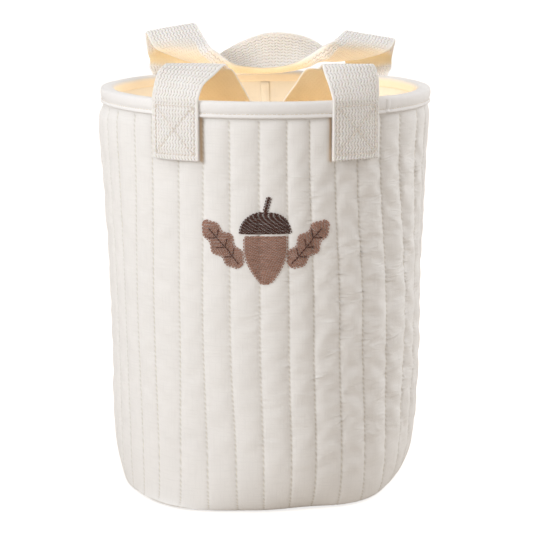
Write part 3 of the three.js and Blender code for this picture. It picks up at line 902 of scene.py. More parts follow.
    def crease(self, point):
        """Height in millimetres of the puckers that run across the channels."""
        busy = self.busy(point)
        height = point[2]
        around = tub_angle(point) * MAP_RADIUS
        tilt = 0.35 * noise.noise(Vector((around / 60, height * 12, 4.2)))
        place = Vector((around / 26, (height / MM + tilt * around) / 7.5, 0.7))
        ridge = 1 - 2.6 * abs(noise.noise(place))
        fine = noise.noise(Vector((around / 9, height / MM / 4.2, 8.1)))
        return busy * (0.3 * max(ridge, 0) ** 2 + 0.06 * fine)


STITCH_HALF = 0.4  # of the stitch pitch
QUILTING_THREAD = 0.16 * MM, 0.14 * MM  # half width and half height
LOWEST_STITCH = 0.0035


class BIN_OT_quilting_thread(bpy.types.Operator):
    """Add the stitches of the quilting, one by one along every line"""

    bl_idname = "storage_bin.quilting_thread"
    bl_label = "Quilting stitches"

    def execute(self, context):
        sizes = context.scene.bin_sizes
        trees = skin("quilted_wall")
        places, tones = [], []
        pitch = sizes.stitch_pitch
        count = round(wall_length(sizes) / pitch)
        pitch = wall_length(sizes) / count
        for number in range(sizes.channel_count):
            for stitch in range(4, count - 1):
                ends = []
                for share in (-STITCH_HALF, STITCH_HALF):
                    line = (stitch + share) * pitch
                    height = wall_place(sizes, line_angle(sizes, number, 0.1), line)[1]
                    angle = line_angle(sizes, number, max(sizes.rim_height - line, 0))
                    ends.append((angle, height))
                if min(height for angle, height in ends) < LOWEST_STITCH:
                    break
                found = [skin_point(trees, angle, height) for angle, height in ends]
                start, end = (point + normal * 0.05 * MM for point, normal in found)
                normal = (found[0][1] + found[1][1]).normalized()
                places.append(stitch_place(start, end, normal, *QUILTING_THREAD))
                tones.append(noise.noise(Vector((number * 1.7, stitch * 0.9, 0))))
        # Spun polyester in cream, with the soft gloss of its twist.
        cream = context.scene.bin_colours.cream_thread
        material = thread_material("Polyester thread, twisted", cream, 0.06)
        piece = stamped("quilting_stitches", stitch_shape(5, 4), places, tones, material)
        hand_in(piece, "cream_thread")
        return {"FINISHED"}


# Base

UNDER_ROWS, OVER_ROWS, BASE_COLUMNS = 26, 8, 152
BASE_GAP = 0.0003  # between the panel's edge and the wall's seam
PANEL_LOW, PANEL_HIGH = 0.0006, 0.0052  # under and upper face at the middle
PUCKERS = 62


class BIN_OT_base_panel(bpy.types.Operator):
    """Add the round base: a wadded panel that meets the wall in a seam"""

    bl_idname = "storage_bin.base_panel"
    bl_label = "Base panel"

    def execute(self, context):
        sizes = context.scene.bin_sizes
        colours = context.scene.bin_colours
        radius = sizes.wall_foot_radius - sizes.corner_reach
        under = [i / UNDER_ROWS for i in range(1, UNDER_ROWS + 1)]
        over = [1 - i / OVER_ROWS for i in range(OVER_ROWS)]
        section = [(share * radius, 0.0) for share in under]
        section += [(share * radius, 0.005) for share in over[1:]]
        bm, row = spun(section, BASE_COLUMNS, FIRST_LINE, closed=False)
        for vert in bm.verts:
            number = vert[row]
            angle = tub_angle(vert.co)
            edge = sizes.wall_foot_radius - foot_curve(sizes, angle)[0] - BASE_GAP
            below = number < len(under)
            share = under[number] if below else over[number - len(under) + 1]
            place = on_tub(angle, share * edge, 0)
            soft = noise.noise(Vector((place.x * 22, place.y * 22, 3.1)))
            seam = smooth(0.93, 1, share)
            pucker = 0.25 * math.sin(angle * PUCKERS) * smooth(0.82, 0.96, share) * MM
            if below:
                place.z = PANEL_LOW + 0.0005 * soft * (1 - seam) + sizes.seam_lift * seam + abs(pucker) * 0.6
                place.z -= 0.0004 * smooth(0.7, 0.9, share) * (1 - seam)
            else:
                place.z = PANEL_HIGH + 0.0003 * soft + 0.0006 * (1 - share)
            vert.co = place
        for number in (0, len(section) - 1):
            close_ring(bm, row, number)
        map_flat(bm)
        # The same unbleached cotton, a little darker.
        material = cloth_material("Cotton plain weave, base", colours.base, QUILT_YARN, 0.012, 0.03)
        piece = finish_mesh("base_panel", bm, material)
        hand_in(piece, "base_cotton", "outer_base", "base_wadding")
        return {"FINISHED"}


# Lining

SLEEVE_ROWS, SLEEVE_COLUMNS = 74, 200
SLEEVE_TOP = 0.003  # where the sleeve starts under the binding, down the wall's line
SLEEVE_LOW = 0.0078
SLEEVE_CAP = 0.0040
SLEEVE_FRAMES, SLEEVE_PRESSURE, SLEEVE_GROWTH = 10, -0.6, 0.025
FOLD_LEAST, FOLD_DEPTH = 0.0012, 0.0042
DISC_EDGE, DISC_ROWS = 0.1, 24
DISC_HEIGHT, DISC_WAVE = 0.0074, 0.0022
FLAP_WIDTH, FLAP_ROWS = 0.007, 90
FLAP_TOP, FLAP_LOW = 0.2868, 0.050
FLAP_MAP = 7, 236  # millimetres across and along
LINING_RADIUS = 0.112


class BIN_OT_lining(bpy.types.Operator):
    """Add the lining: a slack sleeve hung from the rim, its floor and the flap of its seam"""

    bl_idname = "storage_bin.lining"
    bl_label = "Lining"

    def execute(self, context):
        sizes = context.scene.bin_sizes
        colours = context.scene.bin_colours
        # Smooth percale, calendered: finer yarns, few slubs and a cream that turns warm in the light.
        self.material = cloth_material(
            "Cotton plain weave, lining", colours.lining, LINING_YARN, 0.015, 0.02, sheen=0.1
        )
        self.sleeve(sizes)
        self.floor(sizes)
        self.flap(sizes)
        return {"FINISHED"}

    def sleeve(self, sizes):
        rows = SLEEVE_ROWS
        depth = sizes.lining_depth + LINING_GAP
        total = wall_length(sizes) - LINING_SHORT
        lines = [SLEEVE_TOP + (total - SLEEVE_TOP) * i / rows for i in range(rows + 1)]
        section = [wall_place(sizes, math.pi / 2, line, depth)[:2] for line in lines]
        bm, row = spun(section, SLEEVE_COLUMNS, math.pi, closed=False)
        downs = bm.verts.layers.float.new("line")
        held, rest = [], []
        for vert in bm.verts:
            number = vert[row]
            angle = tub_angle(vert.co)
            line = lines[number]
            radius, height = wall_place(sizes, angle, line, depth)[:2]
            height = max(height, SLEEVE_LOW)
            rest.append(radius)
            soft = smooth(0, 0.05, line) * smooth(0.0, 0.04, total - line)
            folds = 0.5 + 0.5 * noise.noise(Vector((angle * 2.6, line * 9, 2.2)))
            folds += 0.35 * noise.noise(Vector((angle * 8.0, line * 26, 5.2)))
            radius -= (FOLD_LEAST + FOLD_DEPTH * max(folds, 0)) * soft
            vert.co = on_tub(angle, radius, height)
            vert[downs] = line / MM
            seam = abs(abs(math.degrees(angle)) - 180) < 1.5
            held.append(1.0 if number in (0, 1, rows) or seam else 0.0)
        piece = finish_mesh("lining_sleeve", bm, self.material)
        far = simulate_cloth(
            piece, held, SLEEVE_FRAMES, SLEEVE_PRESSURE, SLEEVE_GROWTH, SLEEVE_CAP, stiff=10, bend=1.5
        )
        print("lining_sleeve moved at most %.2f mm" % (far / MM))
        points = points_of(piece.data)
        for number, point in enumerate(points):
            across = math.hypot(point[0], point[1])
            limit = min(rest[number], across) / across
            point[0] *= limit
            point[1] *= limit
            point[2] = max(point[2], SLEEVE_LOW)
        set_points(piece.data, points)
        map_tub(piece.data, attribute_of(piece.data, "line"))
        thicken(piece)
        hand_in(piece, "lining_cotton", "lining_wall")

    def floor(self, sizes):
        edge, rows = DISC_EDGE, DISC_ROWS
        total = wall_length(sizes) - LINING_SHORT
        bm, row = spun([(edge * i / rows, 0) for i in range(1, rows + 1)], 120, math.pi, closed=False)
        close_ring(bm, row, 0)
        for vert in bm.verts:
            share = math.hypot(vert.co.x, vert.co.y) / edge
            angle = tub_angle(vert.co)
            foot = wall_place(sizes, angle, total, sizes.lining_depth + LINING_GAP)[0]
            vert.co *= lerp(1, (foot + LINING_GAP) / edge, smooth(0.4, 1, share))
            soft = noise.noise(Vector((vert.co.x * 26, vert.co.y * 26, 7.7)))
            soft += 0.4 * noise.noise(Vector((vert.co.x * 70, vert.co.y * 70, 1.7)))
            vert.co.z = DISC_HEIGHT + DISC_WAVE * max(soft, 0) * smooth(1, 0.8, share)
        map_flat(bm)
        piece = finish_mesh("lining_floor", bm, self.material)
        thicken(piece)
        hand_in(piece, "lining_cotton", "lining_base")

    def flap(self, sizes):
        """The seam allowance down the back of the sleeve, pressed to one side."""
        bm = bmesh.new()
        uv = bm.loops.layers.uv.new("UVMap")
        bmesh.ops.create_grid(bm, x_segments=6, y_segments=FLAP_ROWS, size=0.5, calc_uvs=True)
        trees = skin("lining_sleeve")
        for vert in bm.verts:
            across, share = vert.co.x + 0.5, vert.co.y + 0.5
            height = lerp(FLAP_LOW, FLAP_TOP, share)
            wave = 0.0006 * noise.noise(Vector((height * 40, 0, 0.4)))
            angle = math.pi + (across - 0.5) * FLAP_WIDTH / LINING_RADIUS + wave / LINING_RADIUS
            start = on_tub(angle, 0.02, height)
            hit = trees[0].ray_cast(start, on_tub(angle, 1, 0), 0.2)
            radius = math.hypot(hit[0].x, hit[0].y) if hit[0] else wall_radius(sizes, height) - 0.006
            lift = 0.0006 + 0.0002 * across + 0.0002 * noise.noise(Vector((height * 90, across, 6)))
            vert.co = on_tub(angle, radius - lift, height)
        for face in bm.faces:
            for corner in face.loops:
                corner[uv].uv = (corner[uv].uv.x * FLAP_MAP[0], corner[uv].uv.y * FLAP_MAP[1])
        piece = finish_mesh("lining_flap", bm, self.material)
        thicken(piece, 0.0004)
        hand_in(piece, "lining_cotton", "lining_seam")


# Binding

BINDING_STITCHES = 252
TAPE_GAP = 0.0009  # between the lining and the inner leg
TAPE_ROW = 1.1  # millimetres of tape from one row of the outline to the next
TAPE_GLOW = 0.6  # of the lining's light on the inner leg
OUTER_ROWS = 14  # rows of the outline on the outer leg
TAPE_SAG, TAPE_RUMPLE = 0.0005, 0.00022
TAPE_PULL, HOLE_PULL = 0.0001, 0.00028  # how far the stitches pull the tape in, and more at a hole
STITCH_UP = 0.0026  # the row of stitches above the foot of the outer leg
LAP_START, LAP_END = 39.5, 50  # degrees where the tape's ends lie over each other
LAP_MIDDLE, LAP_FOLD = math.radians(44.2), 0.0042  # angle and width of the folded end
LAP_LIFT = 0.00045
BINDING_THREAD = 0.00024, 0.0002  # half width and half height


class BIN_OT_binding(bpy.types.Operator):
    """Add the bias binding folded over the rim, its stitches and the lap where its ends join"""

    bl_idname = "storage_bin.binding"
    bl_label = "Bias binding"

    def execute(self, context):
        sizes = context.scene.bin_sizes
        colours = context.scene.bin_colours
        # Pressed bias tape: smooth and even, its yarns at 45 degrees to the rim.
        material = cloth_material(
            "Cotton bias tape, folded",
            colours.binding,
            BINDING_YARN,
            0.008,
            0.02,
            sheen=0.15,
            glow_shade=colours.webbing_glow,
            bias=math.radians(45),
        )
        stitches = BINDING_STITCHES
        steps = stitches * 2
        rim, top = sizes.rim_radius, sizes.rim_height
        foot, inner_foot = top - sizes.binding_depth, top - sizes.binding_inner_depth
        inner = wall_radius(sizes, inner_foot) - sizes.lining_depth - TAPE_GAP - BINDING_TAPE
        outline = [
            (rim - 0.0016, foot + 0.0004),
            (rim - 0.0011, foot - 0.0002),
            (rim - 0.0004, foot),
            (rim - 0.0001, foot + 0.0007),
            (rim - 0.0002, foot + 0.0015),
            (rim - 0.0007, foot + 0.0023),
            (rim - 0.0008, foot + 0.0029),
            (rim - 0.0004, foot + 0.0036),
            (rim - 0.0002, foot + 0.0048),
            (rim, foot + 0.0066),
            (rim - 0.0001, foot + 0.0086),
            (rim - 0.0005, foot + 0.0099),
            (rim - 0.0013, foot + 0.0107),
            (rim - 0.0026, foot + 0.0110),
            ((rim + inner) / 2, top + 0.0001),
            (inner + 0.0028, top - 0.0003),
            (inner + 0.0012, top - 0.0010),
            (inner + 0.0003, top - 0.0022),
            (inner, top - 0.0036),
            (inner + 0.0003, top - 0.0052),
            (inner + 0.0001, top - 0.0064),
            (inner + 0.0001, inner_foot + 0.0003),
            (inner + 0.0006, inner_foot - 0.0001),
            (inner + 0.0012, inner_foot + 0.0003),
            (inner + 0.0013, top - 0.0030),
            (inner + 0.0030, top - 0.0014),
            (rim - 0.0034, top - 0.0014),
            (rim - 0.0017, top - 0.0030),
        ]
        bm, row = spun(outline, steps, 0)
        # Rows of the outline that the stitches pull in, and by what share.
        groove = {5: 1.0, 6: 1.0, 4: 0.5, 7: 0.5, 19: 0.7, 20: 0.5}
        downs = bm.verts.layers.float.new("line")
        glow = bm.verts.layers.float.new("glow")
        for vert in bm.verts:
            number = vert[row]
            angle = tub_angle(vert.co)
            radius = math.hypot(vert.co.x, vert.co.y)
            hole = 0.5 - 0.5 * math.cos(angle * stitches)
            sag = TAPE_SAG * noise.noise(Vector((math.cos(angle) * 3, math.sin(angle) * 3, 0.6)))
            rumple = TAPE_RUMPLE * noise.noise(Vector((angle * 34, number * 0.35, 3.3)))
            pull = groove.get(number, 0) * (TAPE_PULL + HOLE_PULL * hole)
            skinward = -1 if number < OUTER_ROWS else 1
            radius += skinward * pull
            radius += -rumple * skinward * (0.5 + hole)
            height = vert.co.z + sag * 0.8 + 0.5 * rumple
            turn = math.degrees(angle)
            lap = smooth(LAP_START, LAP_START + 0.5, turn) * smooth(LAP_END, LAP_END - 3, turn)
            if number < 22:
                radius += 0.0004 * lap * (-skinward)
                height += 0.0003 * lap if 10 < number < 18 else 0
            vert.co = on_tub(angle, radius, height)
            vert[downs] = number * TAPE_ROW
            vert[glow] = TAPE_GLOW * smooth(15, 18, number)
        piece = finish_mesh("bias_binding", bm, material)
        map_tub(piece.data, attribute_of(piece.data, "line"))
        hand_in(piece, "binding_cotton", "rim_binding")
        self.lap(sizes, material)
        self.stitches(stitches, foot)
        return {"FINISHED"}

    def lap(self, sizes, material):
        """The folded end of the tape, which lies over its start."""
        bm = bmesh.new()
        uv = bm.loops.layers.uv.new("UVMap")
        bmesh.ops.create_grid(bm, x_segments=8, y_segments=16, size=0.5, calc_uvs=True)
        trees = skin("bias_binding")
        low, high = sizes.rim_height - sizes.binding_depth + 0.0006, sizes.rim_height - 0.0012
        for vert in bm.verts:
            across, share = vert.co.x + 0.5, vert.co.y + 0.5
            height = lerp(low, high, share)
            angle = LAP_MIDDLE + (across - 0.5) * LAP_FOLD / sizes.rim_radius + (share - 0.5) * 0.004
            point, normal = skin_point(trees, angle, height)
            lift = LAP_LIFT * math.sin(math.pi * min(max(across, 0.05), 0.95)) ** 0.5
            vert.co = point + normal * lift
        for face in bm.faces:
            for corner in face.loops:
                corner[uv].uv = corner[uv].uv * 9
        piece = finish_mesh("binding_lap", bm, material)
        thicken(piece, 0.0004, -1)
        hand_in(piece, "binding_cotton", "binding_join")

    def stitches(self, count, foot):
        """The row of thread in the groove of the tape's outer leg."""
        trees = skin("bias_binding")
        places, tones = [], []
        height = foot + STITCH_UP
        for number in range(count):
            middle = 2 * math.pi * number / count
            half = 0.36 * 2 * math.pi / count
            found = [skin_point(trees, middle + turn, height) for turn in (-half, half)]
            start, end = (point + normal * 0.00006 for point, normal in found)
            normal = (found[0][1] + found[1][1]).normalized()
            places.append(stitch_place(start, end, normal, *BINDING_THREAD))
            tones.append(noise.noise(Vector((number * 1.3, 0, 4))))
        # Spun polyester again, drawn tight in the groove: a row of short bright dashes.
        cream = bpy.context.scene.bin_colours.cream_thread
        material = thread_material("Polyester thread, binding", cream, 0.05)
        piece = stamped("binding_stitches", stitch_shape(5, 4), places, tones, material)
        hand_in(piece, "cream_thread", "binding_thread")


# Handles

# Stations of the free webbing: x as a share of the strap's offset, millimetres inwards from the
# fold line and above the rim, the direction across as shares of the width, how far it is cupped,
# and, where the grip folds up in the hand, how far its near lip hangs.
FRONT = {
    "name": "front",
    "face": -1,
    "inset": 29.5,
    "rise": 22.7,
    "left_riser": (
        (-0.945, -10.5, 11, 0.876, -0.395, -0.07, 0),
        (-0.853, -6, 18.5, 1.03, -0.21, -0.05, 0),
        (-0.79, -2.8, 22.2, 1.08, -0.05, 0, 0),
    ),
    "right_riser": (
        (0.966, -10.5, 11, 0.915, 0.395, 0.07, 0),
        (0.93, -6, 18.5, 0.96, 0.21, 0.03, 0),
        (0.91, -2.8, 22.2, 0.95, 0.05, 0, 0),
    ),
    "left_fold": (-0.77, 1.1),
    "right_fold": (0.905, -0.94),
    "loop": (
        (-0.762, 1.5, 22.5, 1.1, 0, 0, 0),
        (-0.73, 6, 20.5, 1.08, -0.05, -0.03, 0),
        (-0.577, 14, 8, 0.7, -0.4, 0.57, 0),
        (-0.43, 20, -4, 0.58, -0.54, 0.57, 0),
        (-0.3, 23, -15, 0.5, -0.68, 0.5, 0),
        (-0.145, 26, -25, 0.28, -0.9, 0.3, 0),
        (0.015, 27, -29, 0.02, -1, 0.05, 0),
        (0.165, 26, -25, -0.25, -0.9, 0.3, 0),
        (0.335, 23, -14, -0.5, -0.68, 0.5, 0),
        (0.495, 19.5, -3, -0.56, -0.54, 0.6, 0),
        (0.67, 14, 9, -0.72, -0.38, 0.55, 0),
        (0.865, 6, 20.5, -0.96, -0.05, -0.02, 0),
        (0.895, 1.5, 22.5, -0.94, 0, 0, 0),
    ),
    "blend": ((0, -0.0935, 0.3177), (0, -0.086, 0.3177)),
}
BACK = {
    "name": "back",
    "face": 1,
    "inset": 23.5,
    "rise": 9,
    "left_riser": ((-0.99, 0.3, 4.5, 0.93, 0.25, 0, 0),),
    "right_riser": ((0.99, 0.3, 4.5, 0.93, -0.25, 0, 0),),
    "left_fold": (-0.977, 0.975),
    "right_fold": (0.984, -0.975),
    "loop": (
        (-0.977, -0.4, 11, 0.98, 0.02, 0, 0),
        (-0.985, -2.5, 16, 1, 0.18, 0.1, 0),
        (-1, 7, 35.75, 1.01, 0.16, 0.175, 0),
        (-0.895, 21, 25, 1, 0.12, 0.21, 1),
        (-0.7, 28, 17.2, 0.59, -0.68, 0.276, 5.5, 0.5),
        (-0.535, 25, 14, 0.3, -0.7, 0.18, 8, 3),
        (-0.37, 19.5, 14.3, 0.18, -0.78, -0.22, 8.4, 4.5),
        (-0.194, 17, 16.6, 0.129, -0.579, -0.495, 7.5, 5.5),
        (0.024, 16, 19.2, 0, -0.526, -0.674, 6, 6.5),
        (0.27, 17, 20.25, -0.08, -0.579, -0.56, 7.5, 6),
        (0.435, 19.5, 21.7, -0.103, -0.79, -0.232, 8.4, 6),
        (0.618, 27, 18.45, -0.384, -0.79, 0.308, 6, 4),
        (0.76, 28, 20, -0.62, -0.66, 0.4, 2),
        (0.936, 21, 25.5, -0.96, 0.1, 0.33, 0),
        (0.994, 7, 29.5, -1.03, 0.16, 0.145, 0),
        (0.984, -2.5, 16, -1, 0.18, 0.1, 0),
        (0.984, -0.4, 11, -0.98, 0.02, 0, 0),
    ),
    "blend": ((0, 0.09925, 0.301825), (0, 0.094, 0.31096)),
}


def smooth_curve(points, share):
    """A point of the centripetal curve through the points, at a share of their number."""
    last = len(points) - 1
    place = min(share * last, last - 1e-9)
    number = int(place)
    within = place - number
    one, two = points[number], points[number + 1]
    before = points[number - 1] if number > 0 else one * 2 - two
    after = points[number + 2] if number + 2 <= last else two * 2 - one
    gaps = [max((b - a).length, 1e-9) ** 0.5 for a, b in ((before, one), (one, two), (two, after))]
    run = (two - one) / gaps[1]
    first = ((one - before) / gaps[0] - (two - before) / (gaps[0] + gaps[1]) + run) * gaps[1]
    final = (run - (after - one) / (gaps[1] + gaps[2]) + (after - two) / gaps[2]) * gaps[1]
    square, cube = within * within, within**3
    return (
        one
        + first * within
        + (-3 * one + 3 * two - 2 * first - final) * square
        + (2 * one - 2 * two + first + final) * cube
    )


def strap_offset(handles, side, left):
    if side["face"] < 0:
        return handles.front_offset
    return handles.back_left_offset if left else handles.back_right_offset


def seat_radius(sizes, handles):
    """The middle of the sewn webbing, clear of the channels and the binding."""
    return sizes.rim_radius + handles.clearance + handles.thickness / 2


def strap_turn(sizes, handles, side, left):
    """The angle on the tub of a sewn end."""
    angle = math.asin(strap_offset(handles, side, left) / seat_radius(sizes, handles))
    angle = -angle if left else angle
    return angle if side["face"] < 0 else math.pi - angle


def strap_stations(sizes, handles, side):
    """Left edge, right edge and cup of every station, from one sewn foot to the other."""
    wide = handles.width

    def station(centre, across, cup, lip=0.0):
        return centre - across * wide / 2, centre + across * wide / 2, cup, lip

    def sewn(left):
        turn = strap_turn(sizes, handles, side, left)
        radius = seat_radius(sizes, handles)
        sagitta = radius - math.sqrt(radius**2 - wide**2 / 4)
        across = Vector((-side["face"] * math.cos(turn), -side["face"] * math.sin(turn), 0))
        rises = (-handles.sewn_depth, -handles.sewn_depth / 2, -0.0012, handles.clearance)
        return [
            station(on_tub(turn, radius - sagitta, sizes.rim_height + rise), across, side["face"] * sagitta)
            for rise in rises
        ]

    def free(share, inward, rise, x, y, z, cup, lip=0.0):
        offset = strap_offset(handles, side, share < 0)
        deep = side["face"] * (sizes.rim_radius - (side["inset"] + inward) * MM)
        centre = Vector((share * offset, deep, sizes.rim_height + rise * MM))
        return station(centre, Vector((x, y, z)), cup * MM, lip * MM)

    def fold(share, x):
        return free(share, 0, side["rise"], x, 0, 0, 0)

    loop = [free(*one) for one in side["loop"]]
    start = sewn(True) + [free(*one) for one in side["left_riser"]]
    end = sewn(False) + [free(*one) for one in side["right_riser"]]
    end = [(right, left, cup, lip) for left, right, cup, lip in reversed(end)]
    return start + [fold(*side["left_fold"])] + loop + [fold(*side["right_fold"])] + end


def strap_rows(sizes, handles, side, spacing):
    """Evenly spaced rows along a strap: edges, cup, lip, length from the foot, and normal."""
    stations = strap_stations(sizes, handles, side)
    spans = len(stations) - 1
    per = 40
    lefts = [one[0] for one in stations]
    rights = [one[1] for one in stations]
    fine = []
    for number in range(spans * per + 1):
        share = number / (spans * per)
        span = min(number // per, spans - 1)
        within = smooth(0, 1, number / per - span)
        cup, lip = (lerp(stations[span][i], stations[span + 1][i], within) for i in (2, 3))
        fine.append((smooth_curve(lefts, share), smooth_curve(rights, share), cup, lip))
    lengths = [0.0]
    for before, after in zip(fine, fine[1:]):
        step = ((after[0] + after[1]) - (before[0] + before[1])).length / 2
        lengths.append(lengths[-1] + step)
    count = round(lengths[-1] / spacing)
    rows = []
    place = 0
    for number in range(count + 1):
        target = lengths[-1] * number / count
        while place < len(lengths) - 2 and lengths[place + 1] < target:
            place += 1
        share = (target - lengths[place]) / max(lengths[place + 1] - lengths[place], 1e-9)
        one, two = fine[place], fine[place + 1]
        cup, lip = (lerp(one[i], two[i], share) for i in (2, 3))
        rows.append([one[0].lerp(two[0], share), one[1].lerp(two[1], share), cup, lip, target])
    for number, current in enumerate(rows):
        before, after = rows[max(number - 1, 0)], rows[min(number + 1, count)]
        along = (after[0] + after[1]) - (before[0] + before[1])
        current.append(along.cross(current[1] - current[0]).normalized())
    return rows


def strap_point(row, across, lift):
    """A point on a strap: a share across its width, and a height above its middle."""
    left, right, cup, lip, _, normal = row
    hang = Vector((0, 0, -lip * math.sin(math.pi * across**3.5)))
    point = left.lerp(right, across) + normal * (cup * 4 * across * (1 - across)) + hang
    if lip:
        near, far = across + 0.02, across - 0.02
        slope = (right - left) * 0.04 + normal * (cup * 4 * (near * (1 - near) - far * (1 - far)))
        slope.z -= lip * (math.sin(math.pi * near**3.5) - math.sin(math.pi * max(far, 0) ** 3.5))
        along = normal.cross(right - left)
        normal = slope.cross(along).normalized()
    return point + normal * lift


def outward_side(rows):
    """1 where a strap's normal points away from the bin at its sewn foot, and -1 where it points in."""
    middle, lifted = (strap_point(rows[4], 0.5, lift).xy.length for lift in (0, MM))
    return 1 if lifted > middle else -1


def box_stitch_lines(handles, top):
    """The seams of a sewn end, as pairs of (across, up from the foot) in metres."""
    edge, foot = 0.0035, 0.004
    low, high = handles.width - edge, top
    return (
        ((edge, foot), (low, foot)),
        ((edge, high), (low, high)),
        ((edge, foot), (edge, high)),
        ((low, foot), (low, high)),
        ((edge, foot), (low, high)),
        ((low, foot), (edge, high)),
    )


def line_distance(across, up, line):
    (x1, y1), (x2, y2) = line
    run = (x2 - x1, y2 - y1)
    share = ((across - x1) * run[0] + (up - y1) * run[1]) / (run[0] ** 2 + run[1] ** 2)
    share = min(max(share, 0), 1)
    return math.hypot(across - x1 - share * run[0], up - y1 - share * run[1])


STRAP_COLUMNS, STRAP_ROW = 48, 0.0009
STITCH_ROW, STRAP_STITCH = 0.0004, 0.0029
STRAP_THREAD = 0.00034, 0.00026  # half width and half height
SELVEDGE = 0.0011  # rounded edge of the webbing
# The dent along a row of stitches: half widths near it and beside it, how deep, and the share beside.
DENT_NEAR, DENT_WIDE, DENT_DEPTH, DENT_SHARE = 0.0011, 0.004, 0.0004, 0.35
SOFT_WAVE = 0.0005
INNER_GLOW, LENS_GLOW, LIP_GLOW = 0.85, 0.5, 0.75


